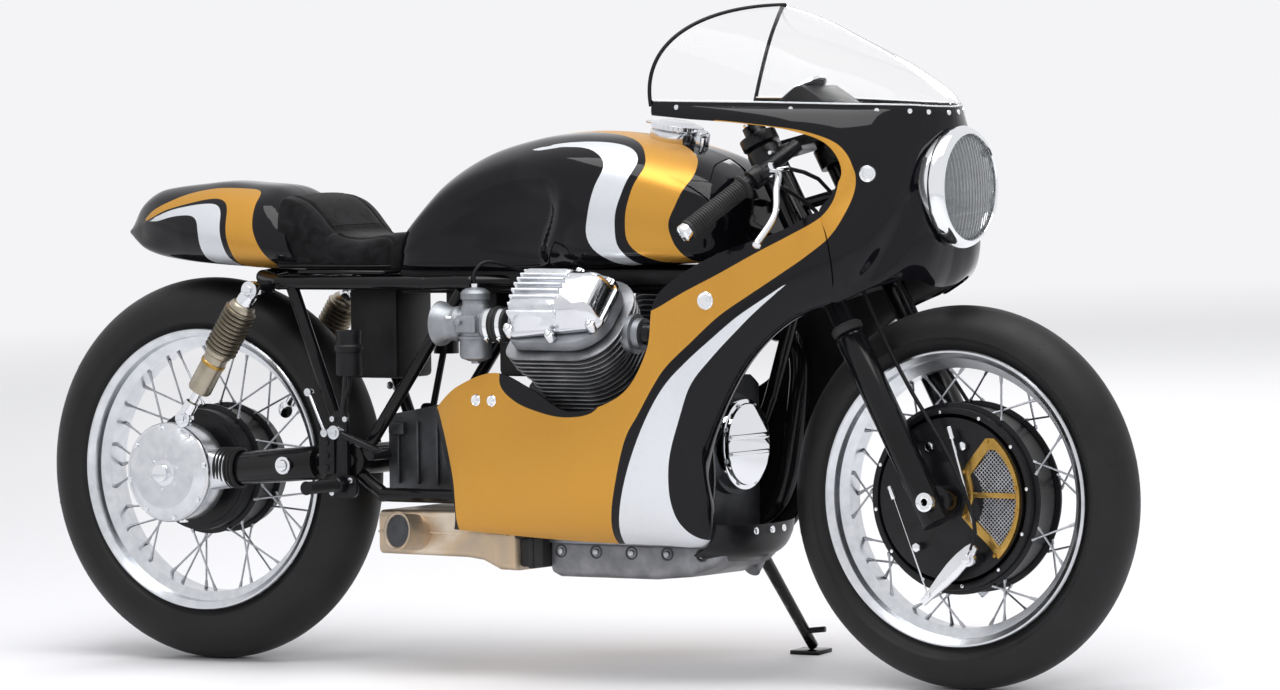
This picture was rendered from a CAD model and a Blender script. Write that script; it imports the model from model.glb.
"""Cafe racer motorcycle: its visible bodywork, wheels, engine and controls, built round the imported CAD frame."""

import math

import bpy
import numpy as np
from bpy.props import FloatProperty, FloatVectorProperty, IntProperty, PointerProperty
from mathutils import Matrix, Vector


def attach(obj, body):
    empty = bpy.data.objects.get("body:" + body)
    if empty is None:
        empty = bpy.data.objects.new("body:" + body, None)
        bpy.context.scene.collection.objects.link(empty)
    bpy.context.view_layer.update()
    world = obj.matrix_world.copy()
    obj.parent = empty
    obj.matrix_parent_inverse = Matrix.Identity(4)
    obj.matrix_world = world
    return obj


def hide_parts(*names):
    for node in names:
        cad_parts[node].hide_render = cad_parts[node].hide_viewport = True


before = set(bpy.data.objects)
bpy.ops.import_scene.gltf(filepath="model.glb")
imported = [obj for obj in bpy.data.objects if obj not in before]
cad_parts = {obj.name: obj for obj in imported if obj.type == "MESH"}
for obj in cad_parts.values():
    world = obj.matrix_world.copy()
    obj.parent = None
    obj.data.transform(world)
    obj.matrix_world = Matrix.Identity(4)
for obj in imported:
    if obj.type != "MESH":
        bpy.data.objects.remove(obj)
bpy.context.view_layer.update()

bl_info = {
    "name": "Cafe Racer",
    "version": (1, 0, 0),
    "blender": (4, 5, 0),
    "location": "View3D > Sidebar > Cafe Racer",
    "description": "Builds a cafe racer motorcycle with a full fairing round its CAD frame",
    "category": "Add Mesh",
}

# The pieces are drawn upright in millimetres: X forward, Y to the rider's left, Z up, with the
# ground under the middle of the wheelbase as origin. PLACE leans them onto the side stand, in metres.
LEAN = math.radians(3.5)
PLACE = (
    Matrix.Translation((0.00775, -0.039, 0.00013))
    @ Matrix.Rotation(-LEAN, 4, "X")
    @ Matrix.Scale(0.001, 4)
)
FRONT_AXLE = Vector((750, 0, 316.2))
REAR_AXLE = Vector((-750, 0, 331.7))
RAKE = math.radians(28)
AHEAD_OF_FORK = Vector((math.cos(RAKE), 0, math.sin(RAKE)))
FORK_HALF = 105
FORK_OFFSET = 55
STEERING_FOOT = FRONT_AXLE - AHEAD_OF_FORK * 69
FORK_MATRIX = Matrix.Translation(STEERING_FOOT) @ Matrix.Rotation(-RAKE, 4, "Y")
VEE_CENTRE = Vector((122, 0, 395))
UP = Vector((0, 0, 1))


def linear(code):
    """An sRGB hex colour as linear RGBA."""
    parts = [int(code[k : k + 2], 16) / 255 for k in (1, 3, 5)]
    return (*(c / 12.92 if c <= 0.04045 else ((c + 0.055) / 1.055) ** 2.4 for c in parts), 1.0)


# ---- settings that a user would change ----
class RacerFinish(bpy.types.PropertyGroup):
    """Colours and sizes of the visible finish."""

    black: FloatVectorProperty(
        name="Black", description="Gloss black of the bodywork", subtype="COLOR", size=4,
        min=0, max=1, default=linear("#0d0d11"),
    )
    gold: FloatVectorProperty(
        name="Gold", description="Satin gold of the broad stripe", subtype="COLOR", size=4,
        min=0, max=1, default=linear("#c8933f"),
    )
    silver: FloatVectorProperty(
        name="Silver", description="Silver of the narrow stripe", subtype="COLOR", size=4,
        min=0, max=1, default=linear("#d9dce0"),
    )
    edge_round: FloatProperty(
        name="Edge rounding", description="Radius left on the edges of cast and machined parts",
        unit="LENGTH", min=0.0001, max=0.003, default=0.0009,
    )
    lathe_steps: IntProperty(
        name="Lathe steps", description="Steps round a turned part such as a tyre",
        min=24, max=256, default=144,
    )


class RacerStage(bpy.types.PropertyGroup):
    """Camera, floor and light."""

    lens: FloatProperty(
        name="Lens", description="Focal length of the camera in millimetres",
        min=20, max=400, default=228.47,
    )
    floor_radius: FloatProperty(
        name="Floor radius", description="Radius at which the floor has faded out",
        unit="LENGTH", min=3, max=60, default=7,
    )
    floor_colour: FloatVectorProperty(
        name="Floor", description="Colour of the floor", subtype="COLOR", size=4,
        min=0, max=1, default=linear("#f1f1f3"),
    )


def finish_settings():
    return bpy.context.scene.racer_finish


# ---- curves and outlines ----
def spline(points, u):
    """Point on a smooth curve through a list whose entries are points or whole sections."""
    p = np.asarray(points, float)
    n = len(p) - 1
    i = min(int(u * n), n - 1)
    t = u * n - i
    a, b, c, d = p[max(i - 1, 0)], p[i], p[i + 1], p[min(i + 2, n)]
    return 0.5 * (2 * b + (c - a) * t + (2 * a - 5 * b + 4 * c - d) * t * t + (3 * b - a - 3 * c + d) * t**3)


def curve(points, n):
    return np.array([spline(points, k / n) for k in range(n + 1)])


def bezier(q, t):
    return q[0] * (1 - t) ** 3 + q[1] * 3 * t * (1 - t) ** 2 + q[2] * 3 * t * t * (1 - t) + q[3] * t**3


def patch(ribs, n, m):
    """A grid of points over ribs that are each given by two ends and two pulling points."""
    return np.array([[bezier(rib, j / m) for j in range(m + 1)] for rib in curve(ribs, n)])


def on_left(grid):
    return grid * (1, -1, 1)


def outline(edge_a, edge_b, n=60):
    """A closed outline from two smooth edges that run the same way."""
    return np.concatenate([curve(edge_a, n), curve(edge_b, n)[::-1]])


def inside_distance(points, shape):
    """Distance of each flat point to an outline, positive inside it."""
    a, b = shape, np.roll(shape, -1, axis=0)
    ab = b - a
    best = np.full(len(points), 1e9)
    inside = np.zeros(len(points), bool)
    for p, q, d in zip(a, b, ab):
        t = np.clip(((points - p) @ d) / max(d @ d, 1e-9), 0, 1)
        best = np.minimum(best, np.linalg.norm(points - p - t[:, None] * d, axis=1))
        crosses = (p[1] > points[:, 1]) != (q[1] > points[:, 1])
        with np.errstate(divide="ignore", invalid="ignore"):
            inside ^= crosses & (points[:, 0] < p[0] + d[0] * (points[:, 1] - p[1]) / d[1])
    return np.where(inside, best, -best)


# ---- mesh helpers ----
def deselect():
    if bpy.context.object and bpy.context.object.mode != "OBJECT":
        bpy.ops.object.mode_set(mode="OBJECT")
    bpy.ops.object.select_all(action="DESELECT")


def choose(obj):
    deselect()
    obj.select_set(True)
    bpy.context.view_layer.objects.active = obj
    return obj


def new_object(name, data):
    obj = bpy.data.objects.new(name, data)
    bpy.context.scene.collection.objects.link(obj)
    return choose(obj)


def mesh_object(name, points, faces, edges=()):
    mesh = bpy.data.meshes.new(name)
    mesh.from_pydata([tuple(p) for p in points], list(edges), list(faces))
    return new_object(name, mesh)


def edit(obj, work):
    """Runs edit-mode operators on the whole mesh of obj."""
    choose(obj)
    bpy.ops.object.mode_set(mode="EDIT")
    bpy.ops.mesh.select_all(action="SELECT")
    work()
    bpy.ops.object.mode_set(mode="OBJECT")
    return obj


def outward(obj):
    return edit(obj, lambda: (
        bpy.ops.mesh.remove_doubles(threshold=0.001),
        bpy.ops.mesh.normals_make_consistent(inside=False),
    ))


def modify(obj, kind, **settings):
    """Adds a modifier with its settings and applies it."""
    choose(obj)
    modifier = obj.modifiers.new(kind.title(), kind)
    for key, value in settings.items():
        setattr(modifier, key, value)
    bpy.ops.object.modifier_apply(modifier=modifier.name)
    return obj


def bevel(obj, width, segments=2, angle=30):
    return modify(obj, "BEVEL", width=width, segments=segments, limit_method="ANGLE",
                  angle_limit=math.radians(angle), use_clamp_overlap=True)


def smooth(obj, angle=35):
    choose(obj)
    bpy.ops.object.shade_smooth_by_angle(angle=math.radians(angle))
    return obj


def grid_sheet(name, grid):
    """An open sheet of quads over a grid of points."""
    n, m = grid.shape[:2]
    faces = [
        (i * m + j, (i + 1) * m + j, (i + 1) * m + j + 1, i * m + j + 1)
        for i in range(n - 1) for j in range(m - 1)
    ]
    return mesh_object(name, grid.reshape(-1, 3), faces)


def ring_faces(rings):
    """Quads between closed rings, and a face at each end."""
    n, m = rings.shape[:2]
    quads = [(i * m + j, i * m + (j + 1) % m, (i + 1) * m + (j + 1) % m, (i + 1) * m + j)
             for i in range(n - 1) for j in range(m)]
    return quads + [tuple(range(m)), tuple(range((n - 1) * m, n * m))]


def loft(name, rings):
    """Closed rings joined into a solid with both ends closed."""
    return outward(mesh_object(name, rings.reshape(-1, 3), ring_faces(rings)))


def rounded_ring(half_x, half_y, corner, height, front):
    """A rectangle with round corners, level at height. Its two corners toward +X may be rounder."""
    ring = []
    for quarter, (sx, sy) in enumerate(((1, 1), (-1, 1), (-1, -1), (1, -1))):
        radius = front if sx > 0 else corner
        for k in range(10):
            a = math.radians(90 * quarter + 10 * k)
            ring.append((sx * (half_x - radius) + radius * math.cos(a), sy * (half_y - radius) + radius * math.sin(a),
                         height))
    return ring


def box_ring(x, half, low, top, corner):
    """A rectangle with round corners, square to the machine's length."""
    ring = []
    for quarter, (side, rise) in enumerate(((1, 1), (-1, 1), (-1, -1), (1, -1))):
        for k in range(6):
            a = math.radians(90 * quarter + 18 * k)
            ring.append((x, side * (half - corner) + corner * math.cos(a),
                         (top + low) / 2 + rise * ((top - low) / 2 - corner) + corner * math.sin(a)))
    return ring


def plates(name, sections, front=None):
    """A stack of round-cornered sections (height, half_x, half_y, corner) closed at both ends."""
    return loft(name, np.array([rounded_ring(x, y, corner, height, front or corner)
                                for height, x, y, corner in sections]))


def turned(name, profile, centre, axis, steps=None):
    """A section of (radius, along) points turned on a lathe about an axis through centre."""
    steps = steps or finish_settings().lathe_steps
    count = len(profile)
    obj = mesh_object(name, [(r, 0, h) for r, h in profile], (), [(k, k + 1) for k in range(count - 1)])
    modify(obj, "SCREW", angle=2 * math.pi, steps=steps, render_steps=steps, axis="Z",
           use_merge_vertices=True, merge_threshold=0.01)
    turn = UP.rotation_difference(Vector(axis)).to_matrix().to_4x4()
    obj.data.transform(Matrix.Translation(centre) @ turn)
    return outward(obj)


def rod(name, start, end, radius, radius_end=None, round_off=0.8, sides=32):
    """A round bar between two points, with its ends rounded off."""
    start, end = Vector(start), Vector(end)
    deselect()
    bpy.ops.mesh.primitive_cone_add(vertices=sides, radius1=radius, radius2=radius_end or radius,
                                    depth=(end - start).length)
    obj = bpy.context.object
    obj.name = name
    turn = UP.rotation_difference(end - start).to_matrix().to_4x4()
    obj.data.transform(Matrix.Translation((start + end) / 2) @ turn)
    if round_off:
        bevel(obj, min(round_off, radius * 0.4))
    return obj


def block(name, low, high, round_off=1.5, segments=2):
    """A box between two corners with rounded edges."""
    low, high = Vector(low), Vector(high)
    deselect()
    bpy.ops.mesh.primitive_cube_add(size=1)
    obj = bpy.context.object
    obj.name = name
    obj.data.transform(Matrix.Translation((low + high) / 2) @ Matrix.Diagonal((*(high - low), 1)))
    return bevel(obj, round_off, segments) if round_off else obj


def pipe(name, points, radius, sides=6, closed=False):
    """A round bar that follows a list of points."""
    line = bpy.data.curves.new(name, "CURVE")
    line.dimensions = "3D"
    line.bevel_depth = radius
    line.bevel_resolution = sides
    line.use_fill_caps = True
    run = line.splines.new("POLY")
    run.points.add(len(points) - 1)
    run.use_cyclic_u = closed
    for point, place in zip(run.points, points):
        point.co = (*place, 1)
    new_object(name, line)
    bpy.ops.object.convert(target="MESH")
    return bpy.context.object


def joined(name, parts):
    deselect()
    for part in parts:
        part.select_set(True)
    bpy.context.view_layer.objects.active = parts[0]
    if len(parts) > 1:
        bpy.ops.object.join()
    parts[0].name = name
    parts[0].data.name = name
    return parts[0]


def mirrored(obj):
    """A copy on the other side of the machine, with its own mesh."""
    other = new_object(obj.name + "_right", obj.data.copy())
    other.data.transform(Matrix.Diagonal((1, -1, 1, 1)))
    other.data.flip_normals()
    return other


def both_sides(name, parts):
    return joined(name, parts + [mirrored(p) for p in parts])


def round_places(count, start=0.0):
    """Evenly spaced places on a unit circle, from a starting angle in degrees."""
    angles = [math.radians(start + 360 / count * k) for k in range(count)]
    return [(math.cos(a), math.sin(a)) for a in angles]


def ridges(count, start, pitch, radii, steps):
    """A turned section's repeated ridges: foot and top radius, then where each one rises, falls and ends."""
    low, high = radii
    corners = ((low, 0), (high, steps[0]), (high, steps[1]), (low, steps[2]))
    return [(radius, start + pitch * k + step) for k in range(count) for radius, step in corners]


def moved(obj, matrix):
    obj.data.transform(matrix)
    return obj


def settle(obj, body, slot, *nodes, look=None, angle=35, place=True):
    """Leans a finished piece into place, gives it its look, and says what it rides on and replaces."""
    if place:
        obj.data.transform(PLACE)
    if look:
        obj.data.materials.clear()
        obj.data.materials.append(finish(look))
    if angle:
        smooth(obj, angle)
    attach(obj, body)
    if nodes:
        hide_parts(*nodes)
    return obj


def rounded_copy(node, body, slot, look, width=1.0, angle=32):
    """A CAD node's shape with the small edge radius that a casting or a machined part has."""
    obj = new_object(node + "_rounded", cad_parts[node].data.copy())
    edit(obj, lambda: (
        bpy.ops.mesh.remove_doubles(threshold=0.00001),
        bpy.ops.mesh.dissolve_limited(angle_limit=math.radians(1)),
    ))
    if width:
        bevel(obj, width * finish_settings().edge_round, 2, angle)
    return settle(obj, body, slot, node, look=look, angle=angle, place=False)


# ---- materials ----
def add(tree, kind, inputs=None, **settings):
    """Adds a node. An input is a value, another node's first output, or a socket."""
    made = tree.nodes.new(kind)
    for key, value in settings.items():
        setattr(made, key, value)
    for key, value in (inputs or {}).items():
        if isinstance(value, bpy.types.Node):
            value = value.outputs[0]
        if isinstance(value, bpy.types.NodeSocket):
            tree.links.new(value, made.inputs[key])
        else:
            made.inputs[key].default_value = value
    return made


def surface(name):
    """A new material's empty node tree, and the object coordinates that its patterns read."""
    made = bpy.data.materials.new(name)
    made.use_nodes = True
    made.node_tree.nodes.clear()
    return made, made.node_tree, add(made.node_tree, "ShaderNodeTexCoord").outputs["Object"]


def shaded(made, inputs):
    """Gives the material its principled shader, with these inputs."""
    shader = add(made.node_tree, "ShaderNodeBsdfPrincipled", inputs)
    add(made.node_tree, "ShaderNodeOutputMaterial", {"Surface": shader})
    return made


def grained(name, light, dark, scale, roughness=(0.3, 0.45), metallic=0.0, bump=0.0, depth=0.0004, shine=0.5):
    """A finish whose colour, roughness and relief vary with a fine grain of the given size per metre."""
    made, tree, place = surface(name)
    grain = add(tree, "ShaderNodeTexNoise", {"Vector": place, "Scale": scale, "Detail": 4.0})
    cloud = add(tree, "ShaderNodeTexNoise", {"Vector": place, "Scale": scale / 30, "Detail": 3.0})
    blotches = add(tree, "ShaderNodeMapRange", {"Value": cloud, "From Min": 0.35, "From Max": 0.65})
    colour = add(tree, "ShaderNodeMix", {"Factor": blotches, "A": linear(light), "B": linear(dark)}, data_type="RGBA")
    rough = add(tree, "ShaderNodeMapRange", {"Value": grain, "From Min": 0.3, "From Max": 0.7,
                                             "To Min": roughness[0], "To Max": roughness[1]})
    inputs = {"Base Color": colour.outputs["Result"], "Roughness": rough, "Metallic": metallic,
              "Specular IOR Level": shine}
    if bump:
        inputs["Normal"] = add(tree, "ShaderNodeBump", {"Height": grain, "Strength": bump, "Distance": depth})
    return shaded(made, inputs)


def stripe_paint():
    """Two-pack paint: black under a deep clear, satin gold and silver flake laid over it in stripes."""
    settings = finish_settings()
    made, tree, place = surface("striped_two_pack_paint")
    # metal flake is about 0.1 mm; it is drawn at 0.5 mm so that it shows at all
    flake = add(tree, "ShaderNodeTexVoronoi", {"Vector": place, "Scale": 2200.0}).outputs["Color"]
    glint = add(tree, "ShaderNodeMapRange", {"Value": flake, "To Min": 0.88, "To Max": 1.1})
    tint = add(tree, "ShaderNodeCombineColor", {"Red": glint, "Green": glint, "Blue": glint})
    # the stripes' edges come from the distance to each outline, in millimetres, kept on the mesh
    masks, colour = [], settings.black[:]
    for name, paint in (("gold", settings.gold), ("silver", settings.silver)):
        edge = add(tree, "ShaderNodeAttribute", attribute_name=name).outputs["Fac"]
        masks.append(add(tree, "ShaderNodeMapRange", {"Value": edge, "From Min": -0.35, "From Max": 0.35}))
        flaked = add(tree, "ShaderNodeMix", {"Factor": 1.0, "A": paint[:], "B": tint},
                     data_type="RGBA", blend_type="MULTIPLY").outputs["Result"]
        colour = add(tree, "ShaderNodeMix", {"Factor": masks[-1], "A": colour, "B": flaked},
                     data_type="RGBA").outputs["Result"]
    metal = add(tree, "ShaderNodeMath", {0: masks[0], 1: masks[1]}, operation="MAXIMUM")
    # sprayed clear coat leaves a very shallow orange peel, about 6 mm across
    peel = add(tree, "ShaderNodeTexNoise", {"Vector": place, "Scale": 160.0, "Detail": 1.0})
    return shaded(made, {
        "Base Color": colour,
        "Metallic": add(tree, "ShaderNodeMapRange", {"Value": metal, "To Max": 0.62}),
        "Roughness": add(tree, "ShaderNodeMapRange", {"Value": metal, "To Min": 0.05, "To Max": 0.34}),
        "Specular IOR Level": 0.22,
        "Normal": add(tree, "ShaderNodeBump", {"Height": peel, "Strength": 0.04, "Distance": 0.0006}),
    })


def rubber():
    """Carbon-black rubber: nearly black, dull, with a faint grey bloom and fine moulding marks."""
    made, tree, place = surface("tyre_rubber")
    bloom = add(tree, "ShaderNodeTexNoise", {"Vector": place, "Scale": 14.0, "Detail": 5.0})
    blotches = add(tree, "ShaderNodeMapRange", {"Value": bloom, "From Min": 0.35, "From Max": 0.7})
    colour = add(tree, "ShaderNodeMix", {"Factor": blotches, "A": linear("#0f0f10"), "B": linear("#1b1b1c")},
                 data_type="RGBA").outputs["Result"]
    pores = add(tree, "ShaderNodeTexNoise", {"Vector": place, "Scale": 900.0, "Detail": 2.0})
    return shaded(made, {
        "Base Color": colour,
        "Roughness": add(tree, "ShaderNodeMapRange", {"Value": bloom, "From Min": 0.3, "From Max": 0.7,
                                                      "To Min": 0.46, "To Max": 0.62}),
        "Specular IOR Level": 0.3,
        "Normal": add(tree, "ShaderNodeBump", {"Height": pores, "Strength": 0.25, "Distance": 0.0003}),
    })


def clear_plastic():
    """Blown acrylic: clear and perfectly smooth, with a trace of haze."""
    made, tree, place = surface("blown_acrylic_screen")
    haze = add(tree, "ShaderNodeTexNoise", {"Vector": place, "Scale": 8.0, "Detail": 2.0})
    rough = add(tree, "ShaderNodeMapRange", {"Value": haze, "From Min": 0.4, "From Max": 0.8, "To Max": 0.03})
    return shaded(made, {"Base Color": linear("#ffffff"), "Transmission Weight": 1.0, "IOR": 1.12,
                         "Roughness": rough})


def fluted_glass():
    """Pressed headlamp glass: vertical flutes about 9 mm wide and cross bars moulded on the inside."""
    made, tree, place = surface("pressed_fluted_glass")
    axes = add(tree, "ShaderNodeSeparateXYZ", {"Vector": place})
    waves = []
    for axis, turns in (("Y", 700.0), ("Z", 210.0)):
        angle = add(tree, "ShaderNodeMath", {0: axes.outputs[axis], 1: turns}, operation="MULTIPLY")
        waves.append(add(tree, "ShaderNodeMath", {0: angle}, operation="SINE"))
    bars = add(tree, "ShaderNodeMapRange", {"Value": waves[1], "From Min": 0.8})
    height = add(tree, "ShaderNodeMath", {0: waves[0], 1: bars}, operation="ADD")
    return shaded(made, {
        "Base Color": linear("#c6cbcd"), "Roughness": 0.03, "Transmission Weight": 0.85, "IOR": 1.5,
        "Normal": add(tree, "ShaderNodeBump", {"Height": height, "Strength": 0.6, "Distance": 0.0012}),
    })


def heated_steel():
    """Stainless sheet that has run hot: straw and brown clouds over a satin grey."""
    made, tree, place = surface("heat_tinted_stainless")
    cloud = add(tree, "ShaderNodeTexNoise", {"Vector": place, "Scale": 9.0, "Detail": 5.0, "Distortion": 0.6})
    ramp = add(tree, "ShaderNodeValToRGB", {"Fac": cloud})
    stops = ramp.color_ramp.elements
    stops[0].position, stops[0].color = 0.32, linear("#a49a8c")
    stops[1].position, stops[1].color = 0.72, linear("#ded4c4")
    stops.new(0.52).color = linear("#c2ab90")
    brush = add(tree, "ShaderNodeTexNoise", {"Vector": place, "Scale": 420.0, "Detail": 3.0})
    rough = add(tree, "ShaderNodeMapRange", {"Value": brush, "From Min": 0.3, "From Max": 0.7,
                                             "To Min": 0.3, "To Max": 0.46})
    return shaded(made, {"Base Color": ramp.outputs["Color"], "Metallic": 0.85, "Roughness": rough})


def suede():
    """Brushed microfibre: deep black with a soft nap that catches light at its edges."""
    made, tree, place = surface("brushed_microfibre")
    cloud = add(tree, "ShaderNodeTexNoise", {"Vector": place, "Scale": 38.0, "Detail": 6.0, "Distortion": 1.2})
    blotches = add(tree, "ShaderNodeMapRange", {"Value": cloud, "From Min": 0.35, "From Max": 0.68})
    colour = add(tree, "ShaderNodeMix", {"Factor": blotches, "A": linear("#0b0b0c"), "B": linear("#1d1c1e")},
                 data_type="RGBA").outputs["Result"]
    # nap fibres are near 0.1 mm; drawn at 0.7 mm so that they show
    nap = add(tree, "ShaderNodeTexNoise", {"Vector": place, "Scale": 1400.0, "Detail": 3.0})
    return shaded(made, {
        "Base Color": colour, "Sheen Weight": 0.12, "Sheen Roughness": 0.4, "Roughness": 0.95,
        "Specular IOR Level": 0.15,
        "Normal": add(tree, "ShaderNodeBump", {"Height": nap, "Strength": 0.35, "Distance": 0.0008}),
    })


MAKERS = {
    "paint": stripe_paint,
    # stoved gloss enamel on steel tube: hard black with a slight ripple
    "enamel": lambda: grained("stoved_black_enamel", "#09090b", "#111113", 260, (0.12, 0.2), bump=0.05, shine=0.25),
    # black wrinkle-free alloy paint on castings, a little duller than the frame
    "black_alloy": lambda: grained("black_painted_alloy", "#0c0c0e", "#151518", 500, (0.26, 0.38), bump=0.12,
                                   shine=0.25),
    # sand-cast aluminium: pale grey, open grain about 1 mm
    "cast": lambda: grained("sand_cast_aluminium", "#9a9da1", "#85888c", 900, (0.38, 0.55), 0.9, 0.3, 0.0005),
    # hand-polished aluminium: bright with faint buffing haze
    "polished": lambda: grained("hand_polished_aluminium", "#e6e7ea", "#d4d6da", 300, (0.09, 0.2), 1.0, 0.03),
    # brushed aluminium of rims and plates
    "satin_alloy": lambda: grained("satin_aluminium", "#d8dade", "#cccfd3", 1500, (0.2, 0.27), 1.0, 0.03),
    # bright chromium plate
    "chrome": lambda: grained("chromium_plate", "#eceef0", "#e2e4e8", 60, (0.03, 0.07), 1.0),
    # vapour-plated reflector, dulled by age
    "reflector": lambda: grained("vapour_plated_reflector", "#77797c", "#5a5c5f", 90, (0.12, 0.3), 1.0),
    # bare turned steel
    "steel": lambda: grained("turned_steel", "#b6b8bc", "#a2a4a9", 800, (0.22, 0.34), 1.0, 0.05),
    # moulded black ABS with a spark-eroded grain
    "plastic": lambda: grained("moulded_black_abs", "#0c0c0e", "#141416", 1200, (0.42, 0.55), bump=0.2, shine=0.25),
    # bronze-anodised aluminium of the shock bodies
    "bronze": lambda: grained("bronze_anodised_aluminium", "#b0a898", "#988f7e", 800, (0.26, 0.36), 0.9, 0.05),
    # gold-anodised aluminium of the brake scoop frames
    "brass": lambda: grained("gold_anodised_aluminium", "#b99551", "#a3803f", 800, (0.24, 0.34), 0.9, 0.06),
    # blasted cast fins and sump: mid grey
    "fins": lambda: grained("blasted_cast_aluminium", "#8b8c8f", "#6d6e71", 800, (0.36, 0.5), 0.9, 0.25, 0.0005),
    # oil-stained cast sump: dark grey, rough grain
    "dark_cast": lambda: grained("weathered_cast_aluminium", "#57585b", "#434447", 700, (0.42, 0.58), 0.85, 0.35,
                                 0.0006),
    "tyre": rubber,
    "grip": lambda: grained("ribbed_grip_rubber", "#161617", "#232324", 500, (0.5, 0.65), bump=0.3, shine=0.35),
    "screen": clear_plastic,
    "glass": fluted_glass,
    "heated": heated_steel,
    "suede": suede,
}
_made = {}


def finish(name):
    """The named material, made the first time that it is asked for."""
    if name not in _made:
        _made[name] = MAKERS[name]()
    return _made[name]


def refinish(look, *nodes):
    """Gives CAD nodes whose shape is right their finish."""
    for node in nodes:
        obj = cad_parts[node]
        if not obj.material_slots:
            obj.data.materials.append(finish(look))
        for slot in obj.material_slots:
            slot.material = finish(look)


# ---- shapes of the bodywork ----
# each rib runs from the outer edge to the inner edge: end, two pulling points, end
SIDE_RIBS = np.array([
    [[-158, 152, 252], [-118, 192, 290], [-150, 196, 385], [-178, 172, 452]],
    [[-100, 150, 248], [-96, 198, 288], [-112, 206, 400], [-122, 190, 492]],
    [[-30, 148, 244], [-30, 203, 284], [-36, 212, 410], [-40, 200, 517]],
    [[45, 146, 240], [45, 206, 280], [42, 218, 380], [40, 214, 492]],
    [[130, 143, 237], [132, 208, 278], [128, 222, 370], [125, 224, 456]],
    [[240, 138, 236], [248, 206, 272], [236, 224, 400], [226, 228, 487]],
    [[318, 122, 237], [338, 186, 262], [300, 228, 470], [278, 231, 560]],
    [[345, 142, 290], [362, 206, 310], [326, 232, 560], [292, 230, 640]],
    [[350, 160, 372], [372, 218, 396], [372, 234, 590], [336, 226, 682]],
    [[388, 172, 458], [414, 224, 474], [424, 232, 650], [400, 218, 716]],
    [[446, 178, 546], [474, 222, 560], [482, 226, 690], [462, 213, 738]],
    [[520, 180, 610], [548, 216, 624], [548, 220, 720], [524, 206, 758]],
    [[600, 176, 645], [622, 202, 664], [616, 208, 750], [588, 196, 790]],
], float)


def joint_point(t):
    """Where the nose meets the side panel, a narrow gap ahead of the side's last rib."""
    return bezier(SIDE_RIBS[-1], t) + (3.5, 0, 0)


NOSE_RIBS = np.array([
    [[252, 164, 949], [252, 166, 952], [252, 166, 957], [252, 165, 961]],
    [[330, 176, 942], [332, 178, 948], [334, 177, 955], [334, 173, 960]],
    [[430, 187, 936], [436, 190, 944], [440, 186, 953], [440, 177, 959]],
    [[530, 191, 924], [542, 193, 934], [548, 180, 950], [544, 170, 957]],
    [[600, 187, 900], [616, 184, 916], [622, 160, 945], [612, 147, 955]],
    [[628, 186, 856], [652, 182, 880], [664, 142, 938], [652, 126, 954]],
    [[612, 193, 816], [654, 192, 842], [684, 118, 926], [678, 104, 953]],
    [joint_point(1), [668, 200, 806], [700, 100, 914], [690, 91, 952.5]],
    [joint_point(0.72), [688, 206, 774], [710, 86, 908], [699, 78, 952]],
    [joint_point(0.36), [706, 196, 726], [718, 72, 902], [707, 66, 951]],
    [joint_point(0), [716, 166, 694], [726, 56, 896], [714, 53, 950]],
    [[660, 150, 668], [738, 126, 702], [731, 38, 888], [721, 35, 949]],
    [[700, 92, 680], [742, 78, 708], [734, 22, 884], [726, 17, 948.5]],
    [[706, 40, 668], [741, 36, 704], [735, 8, 882], [728, 6, 948]],
    [[704, 0, 664], [740, 0, 702], [736, 0, 880], [728, 0, 948]],
], float)
SCREEN_ARCHES = np.array([
    [[249, 166, 962.4], [252, 206, 1075], [330, 122, 1127], [410, 0, 1127]],
    [[334, 173, 961.4], [350, 202, 1060], [420, 116, 1106], [486, 0, 1104]],
    [[440, 177, 960.4], [470, 190, 1040], [520, 108, 1070], [560, 0, 1070]],
    [[544, 170, 958.6], [580, 170, 1018], [612, 92, 1032], [632, 0, 1034]],
    [[652, 126, 955.6], [674, 118, 986], [686, 62, 992], [690, 0, 994]],
    [[707, 66, 952.4], [718, 58, 962], [720, 30, 968], [722, 0, 969]],
    [[728, 5, 949.5], [729, 4, 950], [729, 2, 950.5], [729, 0, 951]],
], float)
LAMP_Z = 826

# stripes on the fairing, drawn on the side view: the two smooth edges of each
FAIRING_GOLD = outline(
    [[165, 215], [167, 249], [200, 337], [229, 413], [257, 455], [287, 501], [314, 536], [361, 575], [413, 618],
     [467, 652], [525, 687], [573, 718], [617, 753], [638, 787], [648, 824], [647, 858], [634, 886], [609, 906],
     [557, 922], [496, 930], [423, 937], [380, 940]],
    [[-150, 215], [-149, 240], [-137, 300], [-136, 345], [-148, 400], [-168, 448], [-190, 480], [-130, 560],
     [-40, 540], [-28, 497], [-1, 474], [38, 459], [102, 447], [164, 454], [196, 484], [223, 513], [242, 541],
     [251, 568], [256, 590], [270, 617], [303, 633], [350, 658], [413, 688], [482, 723], [542, 752], [592, 779],
     [615, 806], [624, 836], [620, 866], [601, 891], [557, 908], [480, 918], [380, 928]],
    n=170,
)
FAIRING_SILVER = outline(
    [[545, 678], [497, 649], [447, 618], [396, 579], [347, 540], [309, 505], [271, 449], [232, 372], [193, 280],
     [179, 242], [170, 210]],
    [[545, 678], [481, 628], [442, 593], [394, 547], [356, 505], [331, 453], [306, 390], [296, 340], [294, 300],
     [300, 270], [318, 248], [352, 238], [420, 232]],
    n=90,
)
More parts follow.
